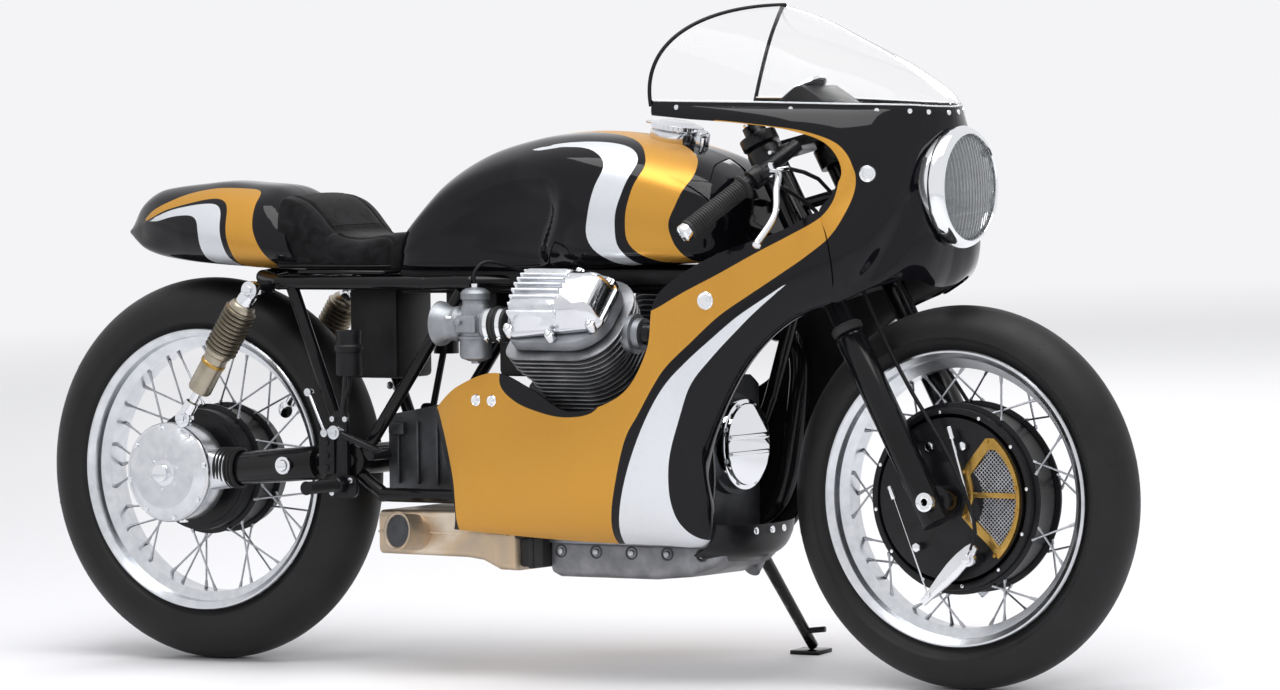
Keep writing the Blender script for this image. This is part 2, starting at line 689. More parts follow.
# on the tank and the tail: along the machine, and round the section from the middle of the top
TANK_SILVER = outline(
    [[-40, 116], [-25, 113], [51, 102], [132, 95], [172, 104], [195, 128], [196, 155], [183, 193], [169, 239],
     [170, 278], [186, 298], [215, 318]],
    [[-40, 116], [-1, 120], [76, 118], [118, 132], [140, 158], [127, 197], [114, 242], [109, 274], [122, 297],
     [150, 312], [190, 326]],
)
TANK_GOLD = outline(
    [[-60, -6], [20, 22], [123, 52], [170, 78], [200, 111], [214, 145], [200, 190], [189, 240], [193, 275],
     [225, 293], [300, 300]],
    [[60, -6], [150, 8], [219, 26], [262, 54], [288, 84], [299, 128], [286, 181], [272, 223], [277, 246],
     [296, 262], [350, 276]],
)
TAIL_GOLD = outline(
    [[-870, 80], [-847, 80], [-800, 74], [-748, 63], [-678, 60], [-628, 60], [-606, 68], [-596, 84], [-593, 106],
     [-584, 147], [-566, 181], [-552, 208], [-530, 240]],
    [[-870, 80], [-836, 92], [-794, 91], [-743, 90], [-692, 90], [-668, 98], [-655, 116], [-648, 147],
     [-640, 188], [-634, 226], [-610, 250]],
)
TAIL_SILVER = outline(
    [[-850, 91], [-820, 96], [-777, 95], [-720, 98], [-684, 104], [-668, 120], [-662, 146], [-656, 176],
     [-650, 206], [-630, 236]],
    [[-850, 91], [-820, 105], [-773, 110], [-738, 117], [-720, 130], [-714, 150], [-713, 180], [-706, 206],
     [-690, 222]],
)
TANK_STATIONS = np.array([
    [-322, 728, 694, 52, 50, 712], [-308, 752, 686, 84, 82, 716], [-281, 786, 683, 102, 102, 730],
    [-219, 843, 682, 109, 112, 770], [-138, 885, 683, 109, 122, 806], [-47, 909, 685, 111, 136, 828],
    [20, 917, 687, 122, 147, 832], [80, 918, 689, 142, 152, 826], [143, 913, 692, 150, 155, 812],
    [222, 898, 697, 151, 155, 800], [290, 877, 701, 147, 150, 786], [335, 846, 704, 136, 136, 772],
    [356, 812, 708, 112, 112, 764], [364, 780, 724, 78, 78, 756],
], float)
TAIL_STATIONS = np.array([
    [-498, 802, 683, 128, 716], [-535, 815, 683, 130, 720], [-580, 825, 684, 128, 728],
    [-640, 829, 687, 120, 736], [-700, 832, 690, 108, 744], [-760, 827, 694, 94, 752],
    [-815, 821, 700, 78, 758], [-850, 814, 706, 64, 756], [-880, 798, 714, 48, 752],
    [-905, 772, 726, 32, 746], [-926, 748, 737, 16, 742],
], float)


def tank_half(station):
    """The left half of the tank's section, from the underside to the middle of the top."""
    x, top, low, half, shoulder, level = station
    return [
        [x, 0, low], [x, 0.78 * half, low], [x, half, low + 0.14 * (level - low)],
        [x, 0.45 * half + 0.55 * shoulder, (low + level) / 2 + 6], [x, shoulder, level],
        [x, 0.90 * shoulder, level + 0.52 * (top - level)], [x, 0.52 * shoulder, top - 0.10 * (top - level)],
        [x, 0, top],
    ]


def tail_half(station):
    x, top, low, half, level = station
    return [
        [x, 0, low], [x, 0.72 * half, low + 0.04 * (level - low)], [x, half, level],
        [x, 0.78 * half, level + 0.62 * (top - level)], [x, 0.40 * half, top - 0.06 * (top - level)], [x, 0, top],
    ]


def rings_of(half_section, stations, along, around):
    """Closed rings through the stations, and each ring point's distance round from the top."""
    rings, reach = [], []
    for station in curve(stations, along):
        half = curve(half_section(station), around)
        from_top = np.concatenate([[0], np.cumsum(np.linalg.norm(np.diff(half[::-1], axis=0), axis=1))])[::-1]
        rings.append(np.concatenate([half, half[-2:0:-1] * (1, -1, 1)]))
        reach.append(np.concatenate([from_top, from_top[-2:0:-1]]))
    return np.array(rings), np.array(reach)


def mark(obj, name, values):
    """Keeps one number for each point of the mesh, for a material to read."""
    obj.data.attributes.new(name, "FLOAT", "POINT").data.foreach_set("value", np.asarray(values, np.float32))


def points_of(obj):
    flat = np.zeros(len(obj.data.vertices) * 3)
    obj.data.vertices.foreach_get("co", flat)
    return flat.reshape(-1, 3)


def put_points(obj, points):
    obj.data.vertices.foreach_set("co", points.ravel())


def normals(grid):
    """The direction square to a grid at each of its points."""
    along, across = np.gradient(grid, axis=0), np.gradient(grid, axis=1)
    square = np.cross(along, across)
    return square / np.maximum(np.linalg.norm(square, axis=2, keepdims=True), 1e-9)


def striped_body(name, rings, reach, gold, silver):
    """A closed body of rings that keeps, at each point, how far it is inside each stripe."""
    body = mesh_object(name, rings.reshape(-1, 3), ring_faces(rings))
    flat = np.stack([rings[..., 0].ravel(), reach.ravel()], axis=1)
    mark(body, "gold", inside_distance(flat, gold))
    mark(body, "silver", inside_distance(flat, silver))
    return body


def shell(name, grid, wall):
    """A moulded shell built outwards from its inner face, which stays black."""
    obj = grid_sheet(name, (grid - normals(grid) * wall)[::-1])
    side_view = points_of(obj)[:, (0, 2)]
    mark(obj, "gold", inside_distance(side_view, FAIRING_GOLD))
    mark(obj, "silver", inside_distance(side_view, FAIRING_SILVER))
    obj.data.materials.append(finish("paint"))
    obj.data.materials.append(finish("plastic"))
    return modify(obj, "SOLIDIFY", thickness=wall, offset=-1, material_offset=1, material_offset_rim=0)


class RACER_OT_stage(bpy.types.Operator):
    """Camera, pale floor and soft light"""

    bl_idname = "racer.stage"
    bl_label = "Stage"

    def execute(self, context):
        scene = context.scene
        settings = scene.racer_stage
        scene.view_settings.view_transform = "Standard"
        lens = bpy.data.cameras.new("camera")
        lens.lens = settings.lens
        lens.sensor_width = 36
        lens.clip_end = 200
        camera = bpy.data.objects.new("camera", lens)
        scene.collection.objects.link(camera)
        # right, up and back of the camera as columns, then where it stands
        turn = Matrix(((0.84728332, -0.01438846, 0.53094627), (0.52941567, 0.10338971, -0.84203896),
                       (-0.04277874, 0.99453685, 0.09521785)))
        camera.matrix_world = Matrix.Translation((7.38385, -11.5145, 1.85823)) @ turn.to_4x4()
        scene.camera = camera
        self.light("overhead", (0.3, -0.6, 3.6), (0, 0, 0.4), (3.6, 2.4), 120, in_reflections=True)
        self.light("rider_right", (2.4, -4.4, 2.2), (0, 0, 0.5), (2.6, 1.6), 90)
        self.light("rider_left", (-1.5, 4.5, 2.6), (0, 0, 0.5), (3, 2), 90)
        self.light("front", (5.0, -0.5, 1.8), (0.3, 0, 0.6), (1.6, 1.6), 36)
        self.floor(settings)
        self.world(scene)
        return {"FINISHED"}

    def light(self, name, place, target, size, power, in_reflections=False):
        lamp = bpy.data.lights.new(name, "AREA")
        lamp.shape = "RECTANGLE"
        lamp.size, lamp.size_y = size
        lamp.energy = power
        obj = bpy.data.objects.new(name, lamp)
        obj.location = place
        obj.rotation_euler = (Vector(target) - Vector(place)).to_track_quat("-Z", "Y").to_euler()
        obj.visible_glossy = in_reflections
        bpy.context.scene.collection.objects.link(obj)

    def floor(self, settings):
        deselect()
        bpy.ops.mesh.primitive_circle_add(vertices=96, radius=settings.floor_radius, fill_type="NGON")
        floor = bpy.context.object
        floor.name = "floor"
        made = bpy.data.materials.new("painted_floor")
        made.use_nodes = True
        tree = made.node_tree
        tree.nodes.clear()
        place = add(tree, "ShaderNodeTexCoord").outputs["Object"]
        away = add(tree, "ShaderNodeVectorMath", {0: place}, operation="LENGTH").outputs["Value"]
        fade = add(tree, "ShaderNodeMapRange", {"Value": away, "From Min": 0.3 * settings.floor_radius,
                                                "From Max": settings.floor_radius})
        paint = add(tree, "ShaderNodeBsdfDiffuse", {"Color": settings.floor_colour[:]})
        clear = add(tree, "ShaderNodeBsdfTransparent")
        add(tree, "ShaderNodeOutputMaterial",
            {"Surface": add(tree, "ShaderNodeMixShader", {0: fade, 1: paint, 2: clear})})
        floor.data.materials.append(made)

    def world(self, scene):
        """Dim grey for the light on the object, pale to the camera and in reflections."""
        world = bpy.data.worlds.new("studio")
        world.use_nodes = True
        scene.world = world
        tree = world.node_tree
        tree.nodes.clear()
        path = add(tree, "ShaderNodeLightPath")
        seen = path.outputs["Is Camera Ray"]
        for ray in ("Is Glossy Ray", "Is Transmission Ray"):
            seen = add(tree, "ShaderNodeMath", {0: seen, 1: path.outputs[ray]}, operation="MAXIMUM")
        light = add(tree, "ShaderNodeBackground", {"Color": linear("#e8e8ec"), "Strength": 0.45})
        backdrop = add(tree, "ShaderNodeBackground", {"Color": linear("#f4f4f6"), "Strength": 1.0})
        mix = add(tree, "ShaderNodeMixShader", {0: seen, 1: light, 2: backdrop})
        add(tree, "ShaderNodeOutputWorld", {"Surface": mix})


class RACER_OT_fairing(bpy.types.Operator):
    """Both side panels, the nose, their screws and the belly lip"""

    bl_idname = "racer.fairing"
    bl_label = "Fairing"

    def execute(self, context):
        side = patch(SIDE_RIBS, 150, 56)
        left = shell("fairing_side_left", side, 4)
        settle(left, "chassis", "gold_paint", "fairing_left")
        right = shell("fairing_side_right", on_left(side)[::-1], 4)
        settle(right, "chassis", "gold_paint", "fairing_right")
        half = patch(NOSE_RIBS, 168, 44)
        nose = shell("fairing_nose", np.concatenate([half, on_left(half)[-2::-1]]), 4)
        self.cut_lamp_hole(nose)
        settle(nose, "chassis", "black_gloss", "fairing_upper")
        self.screws(side, half)
        inside = SIDE_RIBS[-1] - (0, 2.2, 0)
        ribs = np.array([inside + (dx, 0, 0.4 * dx) for dx in (-16, -2, 10, 22)])
        strip = grid_sheet("joint_strip", patch(ribs, 6, 30))
        modify(strip, "SOLIDIFY", thickness=1.4)
        settle(both_sides("fairing_joint_strips", [strip]), "chassis", "black_gloss", look="plastic")
        self.belly_lip()
        return {"FINISHED"}

    def cut_lamp_hole(self, nose):
        cutter = rod("lamp_hole", (600, 0, LAMP_Z), (820, 0, LAMP_Z), 94.5, sides=128, round_off=0)
        modify(nose, "BOOLEAN", operation="DIFFERENCE", object=cutter, solver="EXACT")
        bpy.data.objects.remove(cutter)

    def screws(self, side, nose):
        """Chromed dished washers with a domed socket screw, each square to the panel under it."""
        parts = []
        for grid, x, z, radius in ((side, 390, 644, 15), (side, -77, 468, 10), (side, -46, 469, 10),
                                   (nose, 661, 850, 14)):
            flat = np.hypot(grid[..., 0] - x, grid[..., 2] - z)
            i, j = np.unravel_index(flat.argmin(), flat.shape)
            normal = Vector(np.cross(grid[min(i + 1, len(grid) - 1), j] - grid[max(i - 1, 0), j],
                                     grid[i, j + 1] - grid[i, j - 1])).normalized()
            if normal.y < 0:
                normal.negate()
            parts.append(turned("screw", [(0, 5), (0.3 * radius, 5), (0.34 * radius, 3), (0.55 * radius, 3.2),
                                          (0.62 * radius, 1.6), (radius - 1.5, 3), (radius, 1.4), (radius, -1),
                                          (0, -1)],
                                Vector(grid[i, j]) + normal * 4, normal, steps=32))
        settle(both_sides("fairing_screws", parts), "chassis", "chrome", look="chrome")

    def belly_lip(self):
        """The black pan that closes the bottom of the fairing in front, with its row of screws."""
        ribs = np.array([
            [[286, -104, 214], [352, -84, 198], [352, 84, 198], [286, 104, 214]],
            [[318, -119, 228], [376, -86, 212], [376, 86, 212], [318, 119, 228]],
            [[336, -122, 248], [384, -86, 238], [384, 86, 238], [336, 122, 248]],
            [[342, -124, 268], [380, -86, 262], [380, 86, 262], [342, 124, 268]],
        ], float)
        lip = grid_sheet("belly_lip", patch(ribs, 20, 40))
        edit(lip, lambda: bpy.ops.mesh.normals_make_consistent(inside=False))
        modify(lip, "SOLIDIFY", thickness=3, offset=0)
        bolts = []
        for y in (-88, -44, 0, 44, 88):
            x = bezier(ribs[2], (y + 120) / 240)[0]
            bolts.append(rod("bolt", (x - 2, y, 253), (x + 6, y, 254), 6.5, round_off=2, sides=20))
        settle(joined("belly_lip_bolts", bolts), "chassis", "chrome", look="chrome")
        settle(lip, "chassis", "black_gloss", look="black_alloy")


class RACER_OT_windscreen(bpy.types.Operator):
    """Clear bubble screen with its rubber edge, base strip and screws"""

    bl_idname = "racer.windscreen"
    bl_label = "Windscreen"

    def execute(self, context):
        arches = []
        for arch in curve(SCREEN_ARCHES, 72):
            left = np.array([bezier(arch, j / 40) for j in range(41)])
            arches.append(np.concatenate([left, left[-2::-1] * (1, -1, 1)]))
        arches = np.array(arches)
        screen = grid_sheet("bubble_screen", arches[::-1])
        modify(screen, "SOLIDIFY", thickness=3, offset=-1)
        settle(screen, "chassis", "clear_screen", "windscreen", look="screen", angle=60)
        # rubber beading on the rear edge
        bead = pipe("screen_beading", [tuple(p) for p in arches[0]], 3.4, 4)
        settle(bead, "chassis", "black_plastic", look="plastic", angle=60)
        # flat strip along the foot of the screen, black below and bright on its top edge
        foot = curve(NOSE_RIBS[:, 3], 120)
        foot = np.concatenate([foot, on_left(foot)[-2::-1]])
        self.strip("screen_strip", foot, -9, 9, 2.6, "black_gloss", "enamel")
        self.strip("screen_strip_edge", foot, 9, 11.5, 3.2, "chrome", "chrome")
        screws = []
        for k in (6, 24, 44, 64, 84, 104):
            for s in (1, -1):
                at = k if s > 0 else len(foot) - 1 - k
                place = Vector(foot[at])
                out = Vector(foot[at + 1] - foot[at]).normalized().cross(UP)
                out = out if out.y * s >= 0 else -out
                screws.append(rod("screw", place, place + out * 6.5, 4.6, round_off=1.6, sides=18))
        settle(joined("screen_screws", screws), "chassis", "chrome", look="chrome")
        return {"FINISHED"}

    def strip(self, name, foot, low, high, out, slot, look):
        """A flat bar along the foot line, from low to high of it, whose face stands out from it."""
        rows = []
        for k, p in enumerate(foot):
            along = Vector(foot[min(k + 1, len(foot) - 1)] - foot[max(k - 1, 0)]).normalized()
            side = along.cross(UP).normalized()
            side = side if side.x * 0.6 + side.y * (1 if p[1] >= 0 else -1) > 0 else -side
            a, b = Vector(p) + side * (out + 0.4), Vector(p) - side * 1.2
            rows.append([a + UP * low, a + UP * high, b + UP * high, b + UP * low])
        settle(bevel(loft(name, np.array(rows, float)), 0.7, 2, 40), "chassis", slot, look=look)


class RACER_OT_headlamp(bpy.types.Operator):
    """Chromed headlamp with its rim, reflector and fluted glass"""

    bl_idname = "racer.headlamp"
    bl_label = "Headlamp"

    def execute(self, context):
        centre, axis = (0, 0, LAMP_Z), (1, 0, 0)
        bowl = turned("headlamp_bowl", [(0, 640), (34, 640), (52, 648), (70, 662), (82, 677), (89, 693), (93.5, 712),
                                        (93.5, 734), (97, 735), (100, 737), (101, 740), (101, 747), (99.5, 752),
                                        (96, 757.5), (91, 762), (88, 763), (86.3, 761), (86, 757), (86, 744),
                                        (84, 741)], centre, axis)
        settle(bowl, "chassis", "chrome", "headlamp", look="chrome", angle=50)
        reflector = turned("headlamp_reflector", [(86, 745), (80, 736), (60, 716), (30, 704), (0, 700)], centre, axis)
        settle(reflector, "chassis", "chrome", look="reflector", angle=50)
        glass = turned("headlamp_glass", [(0, 766), (20, 765.6), (40, 764.2), (60, 761.4), (76, 757.4), (85.6, 753.4),
                                          (85.6, 757.6), (76, 761.6), (60, 766), (40, 769.4), (20, 771), (0, 771.4)],
                       centre, axis)
        settle(glass, "chassis", "lamp_glass", "headlamp_lens", look="glass", angle=60)
        bulb = turned("headlamp_bulb", [(0, 700), (14, 701), (14, 712), (11, 716), (11, 728), (8, 736), (0, 739)],
                      centre, axis, steps=48)
        hood = turned("headlamp_bulb_hood", [(0, 742), (13, 741), (15, 736), (14, 730), (13, 736), (0, 739.6)],
                      centre, axis, steps=48)
        settle(joined("headlamp_bulb", [bulb, hood]), "chassis", "chrome", look="chrome")
        return {"FINISHED"}


class RACER_OT_tank(bpy.types.Operator):
    """Fuel tank with its knee hollows, and the filler lid"""

    bl_idname = "racer.tank"
    bl_label = "Fuel tank"

    def execute(self, context):
        rings, reach = rings_of(tank_half, TANK_STATIONS, 150, 44)
        rings = self.knee_hollows(rings)
        tank = outward(striped_body("fuel_tank_shell", rings, reach, TANK_GOLD, TANK_SILVER))
        settle(tank, "chassis", "black_gloss", "fuel_tank", look="paint", angle=60)
        self.lid()
        return {"FINISHED"}

    def knee_hollows(self, rings):
        """Presses a shallow hollow for the rider's knee into each side, with a soft rolled front edge."""
        front = [[12, 860], [44, 842], [56, 818], [52, 786], [34, 752], [18, 722], [14, 700]]
        edge = curve(front, 60)
        pressed = rings.copy()
        x, z = rings[..., 0], rings[..., 2]
        front_x = np.interp(z, edge[::-1, 1], edge[::-1, 0])
        behind = front_x - x
        top = 872 - np.abs(x + 40) * 0.28
        depth = np.clip(behind / 26, 0, 1) ** 1.2 * np.clip((top - z) / 46, 0, 1) * np.clip((z - 690) / 22, 0, 1)
        depth *= np.clip((x + 322) / 160, 0, 1)
        swell = np.exp(-((behind + 9) / 13) ** 2) * np.clip((858 - z) / 40, 0, 1) * np.clip((z - 694) / 30, 0, 1)
        pressed[..., 1] -= np.sign(rings[..., 1]) * (9 * depth - 1.6 * swell)
        return pressed

    def lid(self):
        """Polished quick-action filler: a stepped cap with a knurled rim, hinge and lever."""
        tilt = Matrix.Translation((196, 0, 920)) @ Matrix.Rotation(math.radians(9), 4, "Y")
        cap = turned("filler_cap", [(0, 15), (24, 15), (30, 14), (34, 11.4), (39, 10.6), (42, 10), (44, 8.5), (44, 1),
                                    (43, 0), (0, 0)], (0, 0, 0), (0, 0, 1), 96)
        grips = []
        for x, y in round_places(32):
            grips.append(rod("knurl", (43.4 * x, 43.4 * y, 2), (43.4 * x, 43.4 * y, 8), 1.2, sides=8, round_off=0))
        barrel = rod("hinge", (53, -9.5, 0), (53, 9.5, 0), 6)
        pin = rod("pin", (53, -16, 0), (53, 16, 0), 2.5, sides=16)
        arm = block("arm", (38, -8, 1), (52, 8, 7), 1.2)
        lever = block("lever", (-58, -9, 3), (-36, 9, 8), 2)
        cap = joined("filler_cap", [cap, *grips, barrel, pin, arm, lever])
        settle(moved(cap, tilt), "filler_lid", "polished_alloy", "filler_lid", look="polished")
        ears = [block("ear", (48, s * 13 - 3, -22), (58, s * 13 + 3, 2), 2) for s in (-1, 1)]
        neck = turned("neck", [(0, -22), (42, -22), (44, -18), (44, -4), (39, -0.4), (0, -0.4)], (0, 0, 0), (0, 0, 1),
                      96)
        settle(moved(joined("filler_neck", [neck, *ears]), tilt), "chassis", "polished_alloy", look="polished")


class RACER_OT_tail(bpy.types.Operator):
    """Tail hump with its striped sides, hollow flick-up end and seat tray"""

    bl_idname = "racer.tail"
    bl_label = "Tail"

    def execute(self, context):
        rings, reach = rings_of(tail_half, TAIL_STATIONS, 130, 40)
        # the side is drawn in under the flick-up of the tail
        x, y, z = rings[..., 0], rings[..., 1], rings[..., 2]
        scoop = np.clip((-760 - x) / 120, 0, 1) * np.exp(-((z - 742 - (x + 850) * -0.10) / 24) ** 2)
        rings[..., 1] -= np.sign(y) * np.minimum(np.abs(y), 9) * scoop
        tail = striped_body("tail_hump", rings, reach, TAIL_GOLD, TAIL_SILVER)
        # the front edge leans back over the seat's bump stop
        points = points_of(tail)
        lean = np.clip((points[:, 0] + 620) / 122, 0, 1) ** 1.5 * np.clip((points[:, 2] - 696) / 90, 0, 1)
        points[:, 0] -= 46 * lean
        put_points(tail, points)
        outward(tail)
        settle(tail, "chassis", "black_gloss", "tail_unit", look="paint", angle=50)
        tray = block("seat_tray", (-500, -112, 674), (-325, 112, 683), 3)
        roll = pipe("tray_edge", [(-498, -112, 679), (-330, -112, 679), (-326, -108, 679), (-326, 108, 679),
                                  (-330, 112, 679), (-498, 112, 679)], 4, 4)
        settle(joined("seat_tray", [tray, roll]), "chassis", "black_gloss", look="enamel")
        return {"FINISHED"}


class RACER_OT_seat(bpy.types.Operator):
    """Suede seat pad with its bump stop, piping and quilted seams"""

    bl_idname = "racer.seat"
    bl_label = "Seat"

    def execute(self, context):
        stations = np.array([
            [-325, 738, 683.5, 88], [-332, 744, 683.5, 96], [-350, 744, 683.5, 102], [-385, 739, 683.5, 106],
            [-420, 741, 683.5, 108], [-440, 748, 683.5, 110], [-458, 764, 683.5, 112], [-478, 785, 683.5, 114],
            [-498, 800, 683.5, 116], [-518, 808, 683.5, 117.5], [-532, 811, 683.5, 118.5], [-538, 808, 684, 118],
        ], float)
        rings = []
        for x, top, low, half in curve(stations, 56):
            crown = [[0, top], [0.42 * half, top - 0.6], [0.74 * half, top - 4], [0.93 * half, top - 12],
                     [half, low + 0.62 * (top - low) - 4], [half + 0.5, low + 16], [0.98 * half, low + 5],
                     [0.9 * half, low], [0, low]]
            left = curve(crown, 40)
            ring = np.concatenate([left, left[-2:0:-1] * (-1, 1)])
            rings.append(np.column_stack([np.full(len(ring), x), ring]))
        pad = loft("seat_pad_cover", np.array(rings))
        modify(pad, "SUBSURF", levels=1, render_levels=1)
        points = points_of(pad)
        x, y, z = points.T
        # sewn channels pull the cover down: one across where the bump stop rises, one inside each side
        across = np.exp(-((x + 446) / 3.2) ** 2)
        along = np.exp(-((np.abs(y) - 78) / 3.0) ** 2) * (z > 716)
        upper = np.clip((z - 708) / 14, 0, 1)
        puff = 2.6 * np.clip(1 - (np.abs(y) / 78) ** 4, 0, 1)
        puff *= np.sin(np.clip((x + 440) / -112, -1, 0) * -math.pi) ** 2
        points[:, 2] += upper * (puff * (x > -446) - 4.2 * np.maximum(across, along))
        put_points(pad, points)
        settle(pad, "chassis", "seat_cloth", "seat_pad", look="suede", angle=80)
        edge = [(x, half + 0.8, 689.5) for x, top, low, half in curve(stations, 30)]
        cord = [*edge, *[(x, -y, z) for x, y, z in edge[::-1]]]
        settle(pipe("seat_piping", cord, 1.8, 3), "chassis", "seat_cloth", look="plastic", angle=80)
        self.stitches(stations)
        return {"FINISHED"}

    def stitches(self, stations):
        """Short thread stitches 7 mm apart beside the crosswise seam."""
        thread = []
        for k in range(-12, 13):
            for x in (-440.5, -451.5):
                top = np.interp(x, stations[::-1, 0], stations[::-1, 1])
                y = 6.2 * k
                thread.append(rod("stitch", (x, y - 2, top - 0.2), (x, y + 2, top - 0.2), 0.7, sides=6, round_off=0))
        settle(joined("seat_stitches", thread), "chassis", "seat_cloth", look="grip", angle=60)


class RACER_OT_wheels(bpy.types.Operator):
    """Slick tyres, polished rims, laced spokes with their nipples, and hubs"""

    bl_idname = "racer.wheels"
    bl_label = "Wheels"
    rim_radius = 245

    def execute(self, context):
        self.wheel("front", FRONT_AXLE, radius=316.2, width=110, flange=159.8, flange_y=34, cross=13)
        self.wheel("rear", REAR_AXLE, radius=331.7, width=130, flange=114.5, flange_y=30, cross=16)
        rounded_copy("front_hub", "front_wheel", "black_alloy", "black_alloy")
        rounded_copy("rear_hub", "rear_wheel", "black_alloy", "black_alloy")
        return {"FINISHED"}

    def wheel(self, end, centre, radius, width, flange, flange_y, cross):
        """Tyre, rim and spokes. The spokes start on the flange and lean by cross degrees."""
        body, rim, half = end + "_wheel", self.rim_radius, width / 2
        middle = radius - 0.46 * width
        crown, bead = radius - middle, width / 3
        tread = [(middle + crown * math.cos(math.radians(a)), half * math.sin(math.radians(a)))
                 for a in np.arange(-90, 90.1, 5)]
        # a raised line on each wall beside the rim, as moulded tyres have
        wall = [(rim + 1, -bead - 1), (rim + 5, -bead - 4.5), (rim + 9, -bead - 7), (rim + 10.5, -bead - 9.4),
                (rim + 13, -bead - 9.8)]
        wall = [(r, -min(-y, half)) for r, y in wall]
        outer = [p for p in tread if p[0] > rim + 17]
        inner = [(middle + (crown - 9) * math.cos(math.radians(a)), (half - 9) * math.sin(math.radians(a)))
                 for a in np.arange(80, -81, -16)]
        section = [(rim - 9, -bead), *wall, *outer, *[(r, -y) for r, y in wall[::-1]], (rim - 9, bead),
                   (rim - 9, bead - 12), *inner, (rim - 9, 12 - bead), (rim - 9, -bead)]
        tyre = turned(end + "_tyre_slick", section, centre, (0, 1, 0))
        settle(tyre, body, "tyre_rubber", end + "_tyre", look="tyre", angle=50)
        self.wear_marks(end, centre, middle, crown, half, body)
        b = bead
        well = [(rim, -b - 8), (rim, -b - 2), (rim - 9.3, -b - 0.5), (rim - 10, -b + 16), (rim - 26, -b + 22),
                (rim - 26, b - 22), (rim - 10, b - 16), (rim - 9.3, b + 0.5), (rim, b + 2), (rim, b + 8),
                (rim - 2, b + 10), (rim - 5, b + 10), (rim - 9, b + 7), (rim - 14, b + 3), (rim - 15, b - 14),
                (rim - 19, b - 15.6), (rim - 31, b - 20), (rim - 31, 20 - b), (rim - 19, 15.6 - b),
                (rim - 15, 14 - b),
                (rim - 14, -b - 3), (rim - 9, -b - 7), (rim - 5, -b - 10), (rim - 2, -b - 10), (rim, -b - 8)]
        settle(turned(end + "_rim_alloy", well, centre, (0, 1, 0)), body, "polished_alloy", end + "_rim",
               look="satin_alloy", angle=28)
        self.spokes(end, centre, flange, flange_y, cross, body)

    def wear_marks(self, end, centre, middle, crown, half, body):
        """The small sunken gauge holes across a slick tyre, as dark dots on its tread."""
        dots = []
        for k in range(8):
            turn = math.radians(45 * k + 12)
            for a in (-52, -38, 38, 52):
                lean = math.radians(a)
                r, y = middle + crown * math.cos(lean), half * math.sin(lean)
                out = Vector((math.cos(lean) * math.cos(turn), math.sin(lean), math.cos(lean) * math.sin(turn)))
                place = centre + Vector((r * math.cos(turn), y, r * math.sin(turn)))
                dots.append(rod("dot", place - out * 2, place + out * 0.25, 2.3, sides=10, round_off=0))
        settle(joined(end + "_tyre_gauge_dots", dots), body, "black_plastic", look="plastic")

    def spokes(self, end, centre, flange, flange_y, cross, body):
        bars, nipples = [], []
        for k in range(36):
            side, angle, outer = 1 - 2 * (k % 2), 10 * k, (k // 2) % 2
            foot_angle = math.radians(angle + (-cross if outer else cross))
            foot = centre + Vector((flange * math.cos(foot_angle), side * (flange_y + 6 * outer - 3),
                                    flange * math.sin(foot_angle)))
            angle = math.radians(angle)
            head = centre + Vector(((self.rim_radius - 31) * math.cos(angle), side * (8 + 4 * outer),
                                    (self.rim_radius - 31) * math.sin(angle)))
            along = (foot - head).normalized()
            bars.append(rod("spoke", foot, head, 1.8, sides=8, round_off=0))
            nipples.append(rod("nipple", head + along * 13, head, 2.3, 3.4, sides=8, round_off=0))
            nipples.append(rod("head", foot - along * 2, foot + along * 5, 3.0, sides=8, round_off=0))
        settle(joined(end + "_spoke_set", bars), body, "spoke_steel", end + "_spokes", look="steel", angle=50)
        settle(joined(end + "_spoke_nipples", nipples), body, "spoke_steel", look="steel", angle=50)


